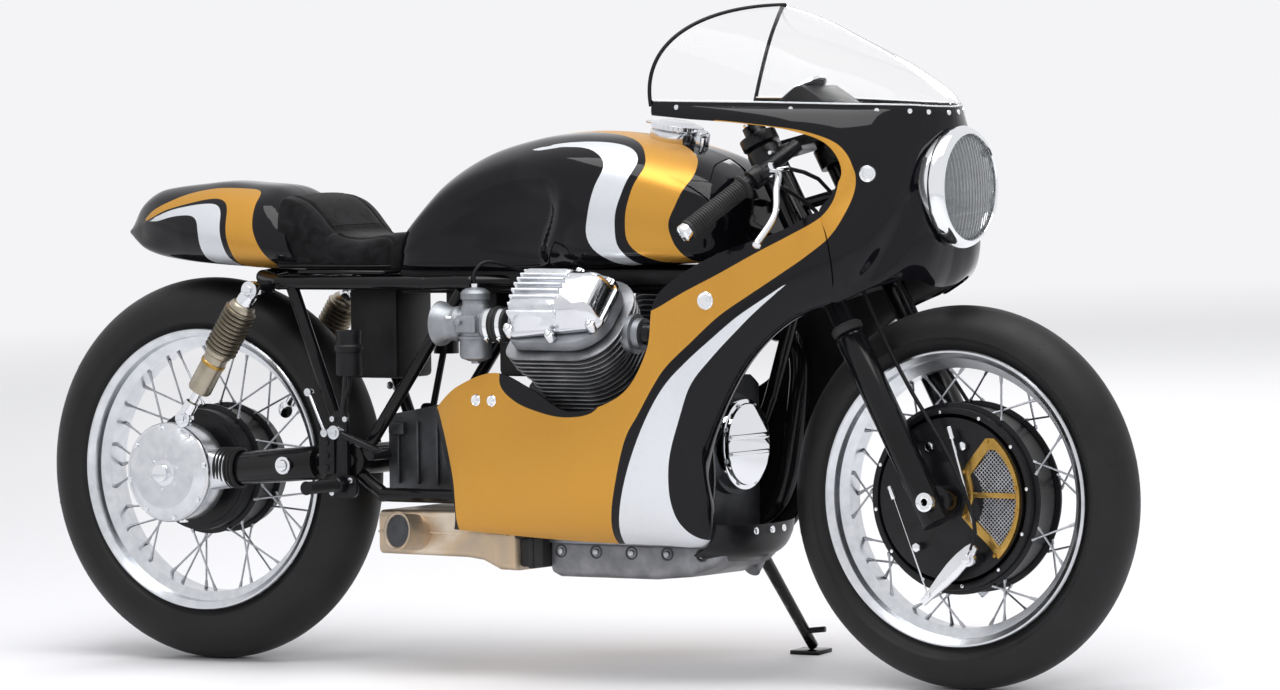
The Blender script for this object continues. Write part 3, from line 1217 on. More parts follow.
class RACER_OT_brakes(bpy.types.Operator):
    """Front drum brake plates with their gauze scoops, cam arms, links and cables"""

    bl_idname = "racer.brakes"
    bl_label = "Front brakes"

    def execute(self, context):
        rounded_copy("brake_plates", "steering", "black_alloy", "black_alloy", 2)
        rounded_copy("front_axle", "steering", "axle_steel", "chrome")
        rounded_copy("brake_cables", "steering", "cable_plastic", "plastic", 0, 60)
        self.scoops()
        self.arms()
        bolts = [rod("bolt", self.place(143.5 * x, 51, 143.5 * z), self.place(143.5 * x, 54.6, 143.5 * z), 3.4,
                     sides=6, round_off=0.5) for x, z in round_places(12, 8)]
        settle(both_sides("front_drum_bolts", bolts), "front_wheel", "chrome", look="chrome")
        return {"FINISHED"}

    def scoops(self):
        """A pressed frame round fine gauze, held by five screws, on the front half of each plate."""
        arc = [(133 * math.cos(math.radians(a)), 133 * math.sin(math.radians(a))) for a in range(-46, 54, 4)]
        inner = [(70, 102), (48, 76), (27, 50), (33, 26), (34, 2), (24, -28), (46, -50), (70, -70)]
        edge = np.array(arc + inner, float)
        middle = edge.mean(axis=0)
        inside = middle + (edge - middle) * 0.80
        face, back = 61.5, 52.5
        count = len(edge)
        rings = [np.column_stack([ring[:, 0] + FRONT_AXLE.x, np.full(count, y), ring[:, 1] + FRONT_AXLE.z])
                 for ring, y in ((edge, back), (edge, face), (inside, face + 1), (inside, back))]
        faces = [(a * count + j, a * count + (j + 1) % count, (a + 1) % 4 * count + (j + 1) % count,
                  (a + 1) % 4 * count + j) for a in range(4) for j in range(count)]
        frame_ring = outward(mesh_object("frame", np.concatenate(rings), faces))
        bevel(frame_ring, 1.2, 2, 40)
        bar = block("bar", self.place(30, back, 4), self.place(126, face + 0.6, 13), 1.2)
        settle(both_sides("brake_scoop_frames", [frame_ring, bar]), "steering", "gold_brass", "brake_scoops",
               look="brass")
        screws = [rod("screw", self.place(x, face, z), self.place(x, face + 3, z), 3.2, sides=16)
                  for x, z in ((73, 98), (126, 22), (128, -14), (86, -90), (30, -26), (31, 46))]
        settle(both_sides("brake_scoop_screws", screws), "steering", "gold_brass", look="brass")
        self.gauze(inside, face - 4)

    def place(self, x, y, z):
        """A point given from the front axle, in the design's own frame."""
        return (FRONT_AXLE.x + x, y, FRONT_AXLE.z + z)

    def gauze(self, shape, level):
        """Woven wire about 5 mm from crossing to crossing, cut to the frame, and a dark plate behind it."""
        wires = []
        for turn in (45, -45):
            along = np.array([math.cos(math.radians(turn)), math.sin(math.radians(turn))])
            across = np.array([-along[1], along[0]])
            for k in range(-34, 35):
                run = np.array([across * 5 * k + along * t + shape.mean(axis=0) for t in np.arange(-150, 150, 2.5)])
                held = inside_distance(run, shape) > -1
                kept = run[held]
                if len(kept) > 2:
                    (x, z), (far_x, far_z) = kept[0], kept[-1]
                    wires.append(rod("wire", self.place(x, level, z), self.place(far_x, level, far_z), 0.9, sides=6,
                                     round_off=0))
        settle(both_sides("brake_scoop_gauze", wires), "steering", "spoke_steel", look="steel", angle=60)
        plate = mesh_object("plate", [self.place(x, level - 2.5, z) for x, z in shape], [tuple(range(len(shape)))])
        modify(plate, "SOLIDIFY", thickness=1)
        settle(both_sides("brake_scoop_shadow_plate", [plate]), "steering", "black_alloy", look="black_alloy")

    def arms(self):
        """Polished cam arms, their threaded links and the clevis at each lower end."""
        top, low, y = Vector((818, 0, 244)), Vector((728, 0, 156)), 95
        along = (low - top).normalized()
        side = Vector((-along.z, 0, along.x))
        edge = [(top + along * t, w) for t, w in ((0, 7), (12, 11), (34, 14), (58, 14.5), (84, 12), (112, 8),
                                                  (138, 6))]
        ring = [p + side * w for p, w in edge] + [p - side * w for p, w in edge[::-1]]
        arm = mesh_object("arm", [(p.x, y, p.z) for p in ring], [tuple(range(len(ring)))])
        modify(arm, "SOLIDIFY", thickness=6, offset=0)
        outward(arm)
        bevel(arm, 1.2, 2, 40)
        hub = rod("hub", (806, 84, 222), (806, 99, 222), 12)
        nut = rod("nut", (806, 98, 222), (806, 104, 222), 8, sides=6)
        clevis = rod("clevis", (731, y - 7, 161), (731, y + 7, 161), 5)
        settle(both_sides("brake_cam_arms", [arm, hub, nut, clevis]), "steering", "polished_alloy", look="polished")
        link = rod("link", (757, 70, 436), (818, y - 5, 262), 2.6, sides=16)
        barrel = rod("barrel", (757, 70, 436), (764, 71.4, 416), 5, sides=24)
        stud = [rod("stud", (x, 58, z), (x, 66, z), 8, sides=6) for x, z in ((716, 402), (778, 404), (690, 236))]
        wire = rod("wire", (660, 84, 318), (731, y, 156), 1.3, sides=8, round_off=0)
        stop = rod("stop", (652, 84, 337), (661, 84, 316), 5, sides=20)
        settle(both_sides("brake_links", [link, barrel, wire, stop, *stud]), "steering", "chrome", look="chrome")


class RACER_OT_engine(bpy.types.Operator):
    """Crankcase, gearbox, front cover and ribbed sump with their bolts"""

    bl_idname = "racer.engine"
    bl_label = "Engine cases"

    def execute(self, context):
        rounded_copy("engine_block", "chassis", "cast_alloy", "dark_cast", 3)
        self.sump()
        rounded_copy("alternator_cover", "chassis", "polished_alloy", "chrome", 2.4)
        screws = [rod("screw", (326, 69 * y, 395 + 69 * z), (329, 69 * y, 395 + 69 * z), 3.6, sides=24)
                  for y, z in round_places(8, 22)]
        settle(joined("alternator_screws", screws), "chassis", "black_steel", look="steel")
        ribs = [block("rib", (-72.5 - 42 * k, 3.6 * k - 99.5, 318), (-67.5 - 42 * k, 3.6 * k - 88.5, 440 - 3 * k),
                      1.2)
                for k in range(7)]
        ribs.append(block("lug", (-338, -84, 402), (-306, -58, 424), 4))
        settle(both_sides("gearbox_ribs", ribs), "chassis", "cast_alloy", look="dark_cast")
        return {"FINISHED"}

    def sump(self):
        """A deep pan that rises toward the front, its flange, recessed bolts and the side stand's bracket."""
        pan = loft("pan", np.array([box_ring(*section) for section in (
            (-5, 86, 186, 232, 8), (-1, 95, 176, 236, 12), (12, 96, 170, 237, 14), (200, 96, 170, 237, 14),
            (268, 95, 176, 237, 14), (318, 93, 196, 237, 12), (336, 88, 212, 236, 8), (340, 80, 218, 234, 6))]))
        axis, pivot = Vector((0, 0.71, 0.7)).normalized(), Vector((280, 120, 206))
        bracket = [rod("bracket", pivot - axis * 42, pivot - axis * 13.3, 14),
                   rod("pin", pivot - axis * 20, pivot + axis * 15, 5)]
        settle(joined("sump_pan", [pan, *bracket]), "chassis", "cast_alloy", "sump", look="fins")
        settle(block("sump_flange", (-12, -98.5, 227), (340, 98.5, 238), 2), "chassis", "cast_alloy", look="cast")
        wells, bolts = [], []
        for x in (18, 88, 158, 228, 296):
            wells.append(turned("well", [(10, -2), (11.5, 0), (11.5, 1.4), (9.5, 1.6), (7.5, -1), (0, -1)],
                                (x, -95.6, 214), (0, -1, 0), steps=32))
            bolts.append(rod("bolt", (x, -95, 214), (x, -99.5, 214), 5.6, sides=6))
        settle(both_sides("sump_wells", wells), "chassis", "cast_alloy", look="dark_cast")
        settle(both_sides("sump_bolts", bolts), "chassis", "black_steel", look="steel")


class RACER_OT_cylinders(bpy.types.Operator):
    """The two finned barrels and heads with their polished rocker covers"""

    bl_idname = "racer.cylinders"
    bl_label = "Cylinders"

    def execute(self, context):
        fins = []
        for k in range(14):
            low = 156 + 11 * k
            wide = np.interp(low, (157, 235, 262, 300), (82, 88, 101, 103))
            deep = np.interp(low, (157, 300), (78, 90))
            fins.append(plates("fin", ((low, wide - 1, deep - 1, 27), (low + 0.8, wide, deep, 28),
                                       (low + 2.4, wide, deep, 28), (low + 3.2, wide - 1, deep - 1, 27)), front=66))
        core = plates("core", ((152, 66, 62, 40), (240, 66, 62, 40), (242, 74, 62, 22), (306, 80, 66, 22),
                               (308, 89, 75, 24), (329, 90, 76, 24)), front=60)
        inlet = turned("inlet", [(0, -60), (26, -60), (26, -92), (30, -94), (30, -104), (25, -106), (25, -120),
                                  (21, -122), (21, -100), (0, -100)], (0, 0, 288), (1, 0, 0))
        outlet = turned("outlet", [(0, 70), (28, 70), (28, 96), (33, 98), (33, 112), (26, 114), (26, 126), (0, 128)],
                        (0, 0, 270), (1, 0, 0))
        flange = plates("flange", ((0, 40, 27, 20), (1.5, 42, 29, 21), (7, 42, 29, 21), (9, 40, 27, 20)))
        moved(flange, Matrix.Translation((-92, 0, 288)) @ Matrix.Rotation(math.pi / 2, 4, "Y"))
        self.pair("cylinder", [core, inlet, outlet, flange], "cast_alloy", "cast", 35)
        self.pair("cylinder_fins", fins, "cast_alloy", "fins", 35)
        self.covers()
        return {"FINISHED"}

    def covers(self):
        """A dome over the valve gear: smooth at the front, finned on its outer face, held by studs at its foot."""
        body = plates("dome", ((330, 88, 68, 20), (331, 90, 70, 22), (339, 90, 70, 22), (340.5, 88, 68, 21),
                               (342, 84, 64, 22), (350, 82.5, 62, 24), (360, 80, 58, 25), (369, 76, 53, 25),
                               (376, 70, 47, 24), (381, 61, 39, 22), (384, 48, 29, 18), (385, 32, 16, 12)), front=16)
        shape = points_of(body)
        # the front of the dome is round in plan: its corners are drawn in toward the middle
        ahead = np.clip(shape[:, 0] / 90, 0, 1)
        shape[:, 1] *= 1 - 0.42 * ahead ** 2.4
        put_points(body, shape)
        modify(body, "SUBSURF", levels=1, render_levels=1)
        studs = [(x, y * side, top) for x, y, top in ((-82, 60, 347), (72, 46, 347), (2, 70, 345)) for side in (-1,
                                                                                                                1)]
        bosses = [rod("boss", (x, y, 330), (x, y, top), 10, 8.5, 1.5) for x, y, top in studs[:4]]
        bosses += [rod("boss", (x, y, 330), (x, y, top), 9, 8, 1.5) for x, y, top in studs[4:]]
        self.pair("rocker_cover", [body, *bosses], "polished_alloy", "polished", 40)
        ribs = []
        for k in range(8):
            y = -49 + 12.4 * k
            rise = 391 - 0.0062 * abs(y) ** 2
            ribs.append(plates("rib", ((352, 3.4, 47, 2), (rise - 2, 2.4, 47, 2), (rise, 1.4, 46, 1.2))))
            moved(ribs[-1], Matrix.Translation((-30, y, 0)) @ Matrix.Rotation(math.pi / 2, 4, "Z"))
        pad = plates("pad", ((350, 49, 58, 10), (376, 47, 47, 10), (382, 44, 42, 9), (383, 42, 40, 8)))
        moved(pad, Matrix.Translation((-30, 0, 0)))
        self.pair("rocker_cover_ribs", [*ribs, pad], "polished_alloy", "satin_alloy", 35)
        bolts = []
        for x, y, z in studs:
            bolts.append(rod("bolt", (x, y, z - 1), (x, y, z + 5), 5.6, sides=6))
            bolts.append(rod("stud", (x, y, z), (x, y, z + 8), 2.6, sides=12))
        self.pair("rocker_cover_bolts", bolts, "chrome", "chrome", 35)

    def pair(self, name, parts, slot, look, angle):
        """Stands the parts on each bank of the V. Each bank's own copy stands for its own CAD node."""
        whole = joined(name, parts)
        for side, lean in (("right", 45), ("left", -45)):
            piece = new_object(f"{name}_{side}_bank", whole.data.copy())
            moved(piece, Matrix.Translation(VEE_CENTRE) @ Matrix.Rotation(math.radians(lean), 4, "X"))
            nodes = {"cylinder": ["cylinder_" + side], "rocker_cover": ["rocker_covers"]}.get(name, [])
            settle(piece, "chassis", slot, *nodes, look=look, angle=angle)
        bpy.data.objects.remove(whole)


class RACER_OT_carburettors(bpy.types.Operator):
    """Cast carburettors on black stubs, with bright clamp bands and caps"""

    bl_idname = "racer.carburettors"
    bl_label = "Carburettors"

    def execute(self, context):
        y, z = -203.6, 598.6
        body = [
            turned("body", [(0, -118), (24, -118), (29, -116), (30, -108), (27, -104), (24, -100), (24, -58),
                            (27, -54), (27, -46), (0, -46)], (0, y, z), (1, 0, 0)),
            turned("mouth", [(36, -150), (38, -149), (37, -143), (30, -132), (27, -118), (27, -110), (23, -110),
                             (23, -120), (27, -134), (33, -146), (36, -150)], (0, y, z), (1, 0, 0)),
            turned("tower", [(0, 0), (24, 0), (24, 30), (22, 33), (22, 40), (25, 42), (25, 52), (21, 57), (15, 60),
                             (0, 62)], (-78, y, z), (0, 0, 1)),
            turned("bowl", [(0, -62), (12, -62), (17, -60), (25, -57), (27, -52), (27, -26), (29, -25), (29, -20),
                            (26, -19), (24, 0), (0, 0)], (-78, y, z), (0, 0, 1)),
            block("idle", (-100, y - 30, z - 14), (-60, y - 8, z + 16), 4),
            rod("jet", (-92, y - 27, z + 4), (-92, y - 36, z + 4), 6, sides=6),
            rod("drain", (-78, y, z - 66), (-78, y, z - 60), 8, sides=6),
        ]
        settle(both_sides("carburettor_bodies", body), "chassis", "cast_alloy", "carburettors", look="cast")
        stub = [rod("stub", (-48, y, z), (-8, y, z), 29, 29, 3), rod("bead", (-34, y, z), (-28, y, z), 31, 31, 2)]
        settle(both_sides("carburettor_stubs", stub), "chassis", "black_plastic", look="grip")
        bright = []
        for x in (-42, -17):
            bright.append(turned("band", [(29.2, -4), (30.4, -4), (30.4, 4), (29.2, 4)], (x, y, z), (1, 0, 0)))
            bright.append(rod("screw", (x, y - 26, z - 22), (x, y - 12, z - 30), 3.2, sides=12))
        bright.append(rod("cap", (-78, y, z + 60), (-78, y, z + 68), 7, sides=6))
        bright.append(rod("adjuster", (-104, y - 22, z + 10), (-118, y - 30, z + 12), 2.6, sides=12))
        settle(both_sides("carburettor_bands", bright), "chassis", "chrome", look="chrome")
        cable = curve([(-78, y, z + 66), (-78, y, z + 88), (-60, y + 22, z + 104), (-10, y + 90, z + 78),
                       (30, y + 130, z + 68)], 20)
        settle(both_sides("throttle_cables", [pipe("cable", cable, 3)]), "chassis", "cable_plastic", look="plastic")
        return {"FINISHED"}


class RACER_OT_exhaust(bpy.types.Operator):
    """Black header pipes and the heat-tinted silencer box under the gearbox"""

    bl_idname = "racer.exhaust"
    bl_label = "Exhaust"

    def execute(self, context):
        route = [(252, 191, 586), (278, 190, 584), (304, 186, 570), (322, 180, 544), (331, 172, 508), (333, 160, 460),
                 (331, 147, 400), (326, 134, 335), (312, 125, 290), (280, 122, 264), (240, 122, 260), (80, 122, 258),
                 (-48.6, 122, 252)]
        header = pipe("header", curve(route, 90), 19, 20)
        collar = [turned("collar", [(19, -9), (25, -8), (27, 0), (25, 8), (19, 9)], (276, 190, 584), (1, 0, -0.1))]
        settle(both_sides("exhaust_headers_black", [header, *collar]), "chassis", "exhaust_steel", "exhaust_headers",
               look="enamel", angle=60)
        box = loft("box", np.array([box_ring(*section) for section in (
            (-330, 118, 212, 266, 10), (-326, 130, 202, 276, 12), (-150, 132, 200, 279, 12),
            (-118, 132, 196, 279, 12),
            (-86, 130, 181, 272, 12), (-54, 128, 180, 266, 12), (-50, 122, 186, 260, 10))]))
        outlet = rod("outlet", (-248, -112, 238), (-262, -168, 244), 31, round_off=0)
        settle(joined("exhaust_box_welded", [box, outlet]), "chassis", "exhaust_steel", "exhaust_box", look="heated")
        couple = [block("couple", (-52, -118, 186), (-4, 118, 256), 6),
                  block("strap", (-34, -121, 184), (-22, 121, 258), 4)]
        settle(joined("exhaust_coupling", couple), "chassis", "black_plastic", look="grip")
        centre, along = Vector((-262, -168, 244)), Vector((-14, -56, 6))
        mouth = turned("exhaust_mouth", [(26, -3), (31.2, -3), (33, 0), (33, 4), (31, 5), (28, 3), (26, -3)], centre,
                       along)
        settle(mouth, "chassis", "exhaust_steel", look="heated")
        bore = turned("exhaust_bore", [(0, 1.2), (28, 1.2)], centre, along)
        settle(bore, "chassis", "black_steel", look="dark_cast")
        seam = [(-326 + 4 * k, -132.4, 240 + 0.5 * (k % 2)) for k in range(66)]
        settle(both_sides("exhaust_box_weld", [pipe("weld", seam, 1.8, 4)]), "chassis", "exhaust_steel",
               look="heated", angle=60)
        return {"FINISHED"}


class RACER_OT_frame(bpy.types.Operator):
    """Black enamelled frame tubes with the loom and tray under the tank"""

    bl_idname = "racer.frame"
    bl_label = "Frame"

    def execute(self, context):
        refinish("enamel", "frame_main", "frame_cradle", "frame_rear")
        rounded_copy("swingarm", "chassis", "black_frame", "enamel", 1.2)
        tray = [block("tray", (-306, -88, 662), (322, 88, 684), 3),
                block("coils", (-124, -66, 504), (36, 66, 602), 10),
                block("tray_front", (60, -118, 664), (326, 118, 690), 4),
                block("coil", (-236, -58, 600), (-130, 58, 662), 8),
                block("box", (-110, -50, 606), (-20, 50, 662), 6),
                block("battery", (-434, -56, 496), (-336, 56, 664), 8)]
        settle(joined("tank_tray", tray), "chassis", "black_plastic", look="plastic")
        folds = ridges(90, 0, 6, (7.6, 9.6), (1.6, 3.2, 4.8))
        loom = turned("loom", [(0, 0), *folds, (0, 540)], (-316, 62, 652), (1, 0, 0.012), steps=20)
        settle(both_sides("loom_conduit", [loom]), "chassis", "black_plastic", look="plastic", angle=60)
        pivot = [rod("washer", (-388, 98, 359), (-388, 104, 359), 17),
                 rod("nut", (-388, 103, 359), (-388, 113, 359), 12,
                                                                        sides=6)]
        link = [rod("bolt", (-508, -150, 349), (-508, -159, 349), 9, sides=24),
                turned("ring", [(10, 0), (15, 0), (15, 3), (10, 3), (10, 0)], (-508, -152, 349), (0, -1, 0),
                       steps=48)]
        settle(joined("swingarm_bolts", [*pivot, *link]), "chassis", "chrome", look="chrome")
        return {"FINISHED"}


class RACER_OT_rear_drive(bpy.types.Operator):
    """Polished bevel drive cover, its bolts, gaiter and the rear axle"""

    bl_idname = "racer.rear_drive"
    bl_label = "Rear drive"

    def execute(self, context):
        rounded_copy("final_drive", "chassis", "polished_alloy", "satin_alloy", 2.6)
        rounded_copy("rear_axle", "chassis", "axle_steel", "chrome")
        centre = REAR_AXLE + Vector((0, -150, 0))
        cover = turned("cover", [(0, -15.5), (20, -15.5), (24, -13), (54, -13.5), (62, -11), (70, -6), (74, -2.4),
                                 (84.6, -2), (86, 0), (86, 7), (84, 9), (60, 9)], centre, (0, 1, 0))
        ribs = []
        for x, z in round_places(6, 20):
            out = Vector((x, 0, z))
            ribs.append(rod("rib", centre + out * 26 + Vector((0, -12, 0)), centre + out * 72 + Vector((0, -3, 0)),
                            3.4, 2.6,
                            round_off=0, sides=16))
        settle(joined("final_drive_cover", [cover, *ribs]), "chassis", "polished_alloy", look="polished")
        bolts = []
        for x, z in round_places(8, 10):
            spot = centre + Vector((79 * x, 0, 79 * z))
            bolts.append(rod("bolt", spot + Vector((0, -1, 0)), spot + Vector((0, -7, 0)), 5, sides=6))
        bolts.append(rod("filler", (-712, -148, 392), (-712, -156, 392), 9, sides=6))
        bolts.append(rod("drain", (-738, -122, 251), (-738, -122, 244), 9, sides=6))
        settle(joined("final_drive_bolts", bolts), "chassis", "chrome", look="chrome")
        folds = ridges(6, 0, 7, (31, 35.5), (2.2, 4.4, 7))
        gaiter = turned("final_drive_gaiter", folds, (-618, -116, 340.5), (-1, 0, 0), steps=64)
        settle(gaiter, "chassis", "black_plastic", look="grip", angle=60)
        return {"FINISHED"}


class RACER_OT_shocks(bpy.types.Operator):
    """Bronze shock absorbers with black-edged cooling fins, brass ring and chrome shaft"""

    bl_idname = "racer.shocks"
    bl_label = "Shock absorbers"

    def execute(self, context):
        top, foot = Vector((-566, 157, 648)), Vector((-710, 157, 426))
        along = (foot - top).normalized()
        length = (foot - top).length
        fins, edges = ridges(11, 40, 7.8, (22, 28.4), (1.6, 4.4, 6)), []
        for k in range(11):
            a = 40 + 7.8 * k
            edges.append(turned("edge", [(27.8, a + 2.3), (28.9, a + 2.4), (28.9, a + 3.6), (27.8, a + 3.7)], top,
                                along, steps=48))
        body = turned("body", [(0, 28), (19, 28), (22, 31), (23.5, 35), (23.5, 39), *fins, (23.5, 127), (23.5, 131),
                               (21, 134), (21, 203), (19, 207), (0, 207)], top, along, steps=64)
        settle(both_sides("shock_bodies", [body]), "chassis", "shock_alloy", "shock_absorbers", look="bronze")
        settle(both_sides("shock_fin_edges", edges), "chassis", "black_alloy", look="black_alloy")
        ring = turned("ring", [(21, 146), (22.2, 147), (22.2, 152), (21, 153)], top, along, steps=64)
        settle(both_sides("shock_rings", [ring]), "chassis", "shock_alloy", look="brass")
        chrome = [
            rod("clevis", top + along * 8, top + along * 30, 15, 17, 2),
            rod("bush", (-566, 150.5, 648), (-566, 166, 648), 16),
            rod("nut", (-566, 165, 648), (-566, 172, 648), 9, sides=6),
            rod("shaft", top + along * 205, top + along * (length - 10), 7.5, round_off=0),
            turned("foot", [(7.5, length - 36), (12, length - 34), (13, length - 30), (13, length - 14),
                            (8, length - 10)], top,
                   along, steps=48),
            rod("foot_bush", (-710, 149, 426), (-710, 164, 426), 15),
            rod("nut", (-710, 163, 426), (-710, 171, 426), 9, sides=6),
        ]
        settle(both_sides("shock_ends", chrome), "chassis", "chrome", look="chrome")
        return {"FINISHED"}


class RACER_OT_rearsets(bpy.types.Operator):
    """Footrest plates, knurled pegs, pedals, linkage rods and the brake fluid pot"""

    bl_idname = "racer.rearsets"
    bl_label = "Rearsets"

    def execute(self, context):
        rounded_copy("rearsets", "chassis", "black_alloy", "black_alloy", 1.2)
        bright = [rod("pivot", (-398, 136, 408), (-398, 161, 408), 12),
                  rod("cap", (-398, 160, 408), (-398, 164, 408), 7),
                  rod("peg_bolt", (-396, 138, 318), (-396, 144, 318), 12, sides=6),
                  block("arm", (-428, 141, 402), (-392, 146, 413), 2),
                  rod("link", (-424, 147, 406), (-470, 128, 474), 3, sides=16),
                  rod("link_end", (-424, 141, 406), (-424, 152, 406), 7),
                  rod("link_end", (-470, 121, 474), (-470, 133, 474), 7)]
        for x, z in ((-412, 430), (-386, 430), (-414, 304), (-376, 326)):
            bright.append(rod("bolt", (x, 139, z), (x, 144.5, z), 5.5, sides=6))
        settle(both_sides("rearset_bright", bright), "chassis", "polished_alloy", look="satin_alloy")
        guards = [block("heel", (-440, 141, 336), (-408, 144, 400), 1.4)]
        guards += [rod("guard_boss", (-424, 143, z), (-424, 146.5, z), 6) for z in (346, 368, 390)]
        settle(both_sides("heel_guards", guards), "chassis", "black_alloy", look="black_alloy")
        rings = ridges(14, 162, 6, (9.6, 11), (1, 4, 5))
        peg = turned("peg", [(0, 128.5), (8, 128.5), (8, 141), (13, 142), (13, 157), (10, 159), *rings, (12, 247),
                             (0, 247)], (-396, 0, 318), (0, 1, 0), steps=32)
        settle(both_sides("footpeg_knurled", [peg]), "chassis", "black_alloy", "footpegs", look="black_alloy",
               angle=50)
        pot = [rod("pot", (-371, -150, 505), (-371, -150, 548), 22.4, 22.4, 2),
               turned("lid", [(0, 546), (24, 546), (25, 548), (25, 555), (22, 558), (8, 559), (0, 559)],
                      (-371, -150, 0), (0, 0, 1), steps=48)]
        settle(joined("brake_fluid_pot", pot), "chassis", "black_plastic", look="plastic")
        hose = curve([(-371, -150, 506), (-372, -150, 486), (-384, -146, 462), (-392, -140, 440), (-398, -132, 420)],
                     20)
        settle(joined("rear_brake_hoses", [pipe("hose", hose, 4.2)]), "chassis", "cable_plastic", look="plastic")
        return {"FINISHED"}


class RACER_OT_fork(bpy.types.Operator):
    """Black fork, yokes and clip-on bars"""

    bl_idname = "racer.fork"
    bl_label = "Fork"

    def execute(self, context):
        rounded_copy("fork_legs", "steering", "black_alloy", "enamel", 1.5)
        rounded_copy("fork_yokes", "steering", "black_alloy", "black_alloy", 2.2)
        rounded_copy("clip_ons", "steering", "black_steel", "black_alloy", 1.2)
        bright = [rod("cap", (FORK_OFFSET, FORK_HALF, 698), (FORK_OFFSET, FORK_HALF, 708), 15, sides=6),
                  rod("stem", (0, 0, 690), (0, 0, 706), 15, sides=6),
                  rod("pinch", (FORK_OFFSET + 22, FORK_HALF + 26, 640), (FORK_OFFSET + 22, FORK_HALF - 26, 640), 4,
                      sides=6),
                  rod("drain", (FORK_OFFSET + 6, FORK_HALF + 24, -8), (FORK_OFFSET + 6, FORK_HALF + 30, -8), 5,
                      sides=6)]
        seal = turned("seal", [(19, 316), (25, 316), (26.5, 319), (26.5, 327), (22, 331), (19.2, 331)],
                      (FORK_OFFSET, FORK_HALF, 0), UP, steps=48)
        settle(moved(both_sides("fork_bright", bright), FORK_MATRIX), "steering", "chrome", look="chrome")
        settle(moved(both_sides("fork_seals", [seal]), FORK_MATRIX), "steering", "grip_rubber", look="grip")
        return {"FINISHED"}


class RACER_OT_controls(bpy.types.Operator):
    """Rubber grips, polished levers, their perches and the bar ends"""

    bl_idname = "racer.controls"
    bl_label = "Controls"

    def execute(self, context):
        start, end = Vector((503, 118, 897)), Vector((395, 288, 762))
        along = (end - start).normalized()
        inner = end - along * 125
        rings = ridges(24, 8, 4.6, (15.2, 16.6), (0.8, 3, 3.8))
        grip = turned("grip", [(11, 0), (21, 0), (22, 1.5), (22, 4), (18, 6), *rings, (17, 120), (17, 124), (11, 125),
                               (11, 0)],
                      inner, along, steps=40)
        settle(both_sides("grip_ribbed", [grip]), "steering", "grip_rubber", "grips", look="grip", angle=50)
        weight = turned("weight", [(0, 124), (14, 124), (15, 126), (15, 137), (12, 140), (5, 141), (5, 138),
                                   (0, 138)], inner,
                        along, steps=48)
        settle(both_sides("bar_ends", [weight]), "steering", "chrome", look="chrome")
        perch = end - along * 151
        blade = curve([perch + Vector((26, 4, 8)), (512, 196, 852), (526, 226, 826), (544, 262, 786),
                       (533, 300, 742)], 40)
        tip = Vector(blade[-1])
        lever = [pipe("blade", blade, 5.6, 8), rod("ball", tip - Vector((0, 1, 2)), tip + Vector((0, 3, -6)), 8.2, 7,
                                                   4)]
        clamp = [turned("clamp", [(11, -12), (17.5, -11), (18, -9), (18, 9), (17.5, 11), (11, 12), (11, -12)], perch,
                        along,
                        steps=48),
                 rod("arm", perch + Vector((8, 2, 2)), perch + Vector((32, 5, 10)), 10, 8, 3)]
        settle(both_sides("lever_blades", lever), "steering", "polished_alloy", "hand_levers", look="polished")
        settle(both_sides("lever_perches", clamp), "steering", "black_alloy", look="black_alloy")
        small = [rod("pivot", perch + Vector((30, 4, 0)), perch + Vector((30, 4, 24)), 5, sides=6),
                 rod("adjuster", perch + Vector((34, -6, 10)), perch + Vector((46, -24, 14)), 5, sides=20),
                 rod("screw", perch + Vector((-12, 0, 12)), perch + Vector((-12, 0, -16)), 3.4, sides=12)]
        settle(both_sides("lever_screws", small), "steering", "chrome", look="chrome")
        return {"FINISHED"}


class RACER_OT_instruments(bpy.types.Operator):
    """The small dial pod behind the screen"""

    bl_idname = "racer.instruments"
    bl_label = "Instruments"

    def execute(self, context):
        rounded_copy("instrument_pod", "chassis", "black_plastic", "plastic", 3)
        face, tilt = Vector((444, 0, 980)), Vector((-0.59, 0, 0.81))
        ring = turned("dial_ring", [(40, 0), (45, 0), (46, 2), (45, 5), (41, 5), (40, 3), (40, 0)], face, tilt,
                      steps=96)
        settle(ring, "chassis", "chrome", look="chrome")
        plate = turned("dial_face", [(0, 1.5), (41, 1.5)], face, tilt, steps=96)
        settle(plate, "chassis", "black_plastic", look="dark_cast")
        pane = turned("dial_glass", [(0, 4), (30, 3.6), (40.5, 2.6)], face, tilt, steps=96)
        settle(pane, "chassis", "lamp_glass", look="screen")
        return {"FINISHED"}


class RACER_OT_stand(bpy.types.Operator):
    """Side stand"""

    bl_idname = "racer.side_stand"
    bl_label = "Side stand"

    def execute(self, context):
        rounded_copy("side_stand", "side_stand", "black_steel", "enamel", 1.2)
        return {"FINISHED"}


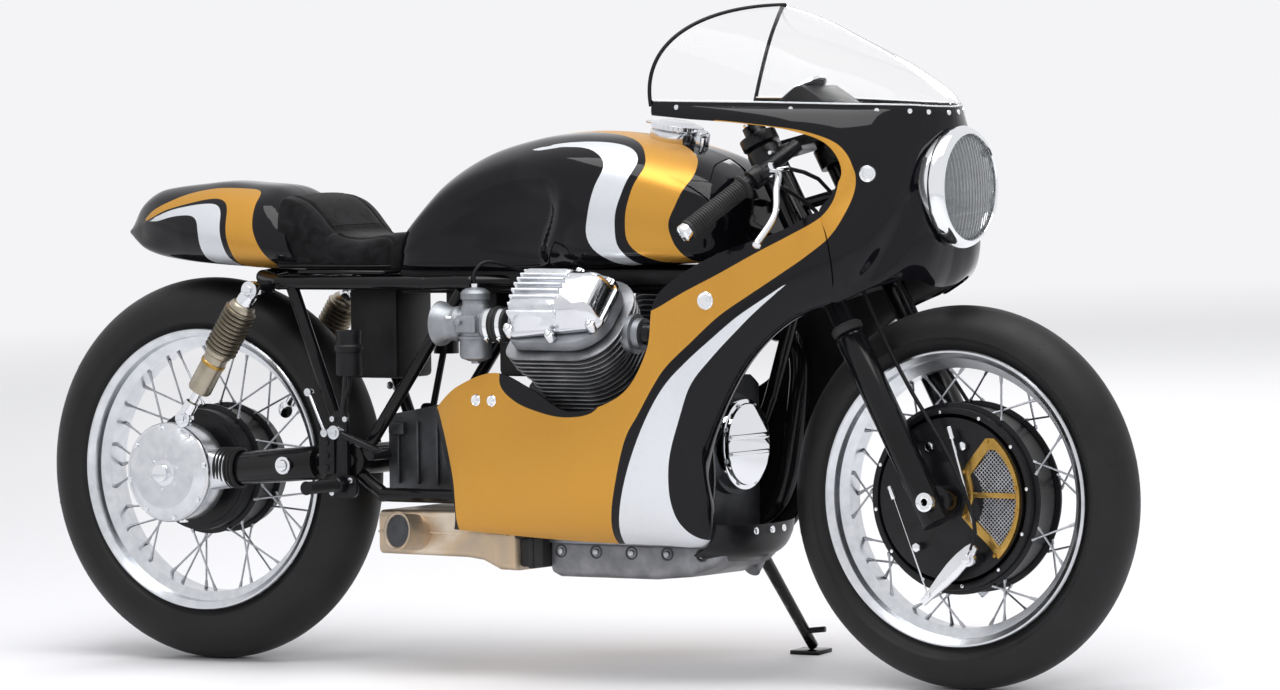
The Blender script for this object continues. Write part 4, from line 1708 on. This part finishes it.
PIECES = (
    RACER_OT_stage,
    RACER_OT_fairing,
    RACER_OT_windscreen,
    RACER_OT_headlamp,
    RACER_OT_tank,
    RACER_OT_tail,
    RACER_OT_seat,
    RACER_OT_wheels,
    RACER_OT_brakes,
    RACER_OT_engine,
    RACER_OT_cylinders,
    RACER_OT_carburettors,
    RACER_OT_exhaust,
    RACER_OT_frame,
    RACER_OT_rear_drive,
    RACER_OT_shocks,
    RACER_OT_rearsets,
    RACER_OT_fork,
    RACER_OT_controls,
    RACER_OT_instruments,
    RACER_OT_stand,
)


class RACER_PT_panel(bpy.types.Panel):
    """The settings, then a button for each piece"""

    bl_idname = "RACER_PT_panel"
    bl_label = "Cafe Racer"
    bl_space_type = "VIEW_3D"
    bl_region_type = "UI"
    bl_category = "Cafe Racer"

    def draw(self, context):
        for settings in (context.scene.racer_finish, context.scene.racer_stage):
            box = self.layout.box()
            for name in settings.__annotations__:
                box.prop(settings, name)
        for piece in PIECES:
            self.layout.operator(piece.bl_idname)


CLASSES = (RacerFinish, RacerStage, *PIECES, RACER_PT_panel)


def register():
    for cls in CLASSES:
        bpy.utils.register_class(cls)
    bpy.types.Scene.racer_finish = PointerProperty(type=RacerFinish)
    bpy.types.Scene.racer_stage = PointerProperty(type=RacerStage)


def unregister():
    del bpy.types.Scene.racer_stage
    del bpy.types.Scene.racer_finish
    for cls in reversed(CLASSES):
        bpy.utils.unregister_class(cls)


def main():
    register()
    bpy.ops.racer.stage()
    bpy.ops.racer.fairing()
    bpy.ops.racer.windscreen()
    bpy.ops.racer.headlamp()
    bpy.ops.racer.tank()
    bpy.ops.racer.tail()
    bpy.ops.racer.seat()
    bpy.ops.racer.wheels()
    bpy.ops.racer.brakes()
    bpy.ops.racer.engine()
    bpy.ops.racer.cylinders()
    bpy.ops.racer.carburettors()
    bpy.ops.racer.exhaust()
    bpy.ops.racer.frame()
    bpy.ops.racer.rear_drive()
    bpy.ops.racer.shocks()
    bpy.ops.racer.rearsets()
    bpy.ops.racer.fork()
    bpy.ops.racer.controls()
    bpy.ops.racer.instruments()
    bpy.ops.racer.side_stand()


if __name__ == "__main__":
    main()
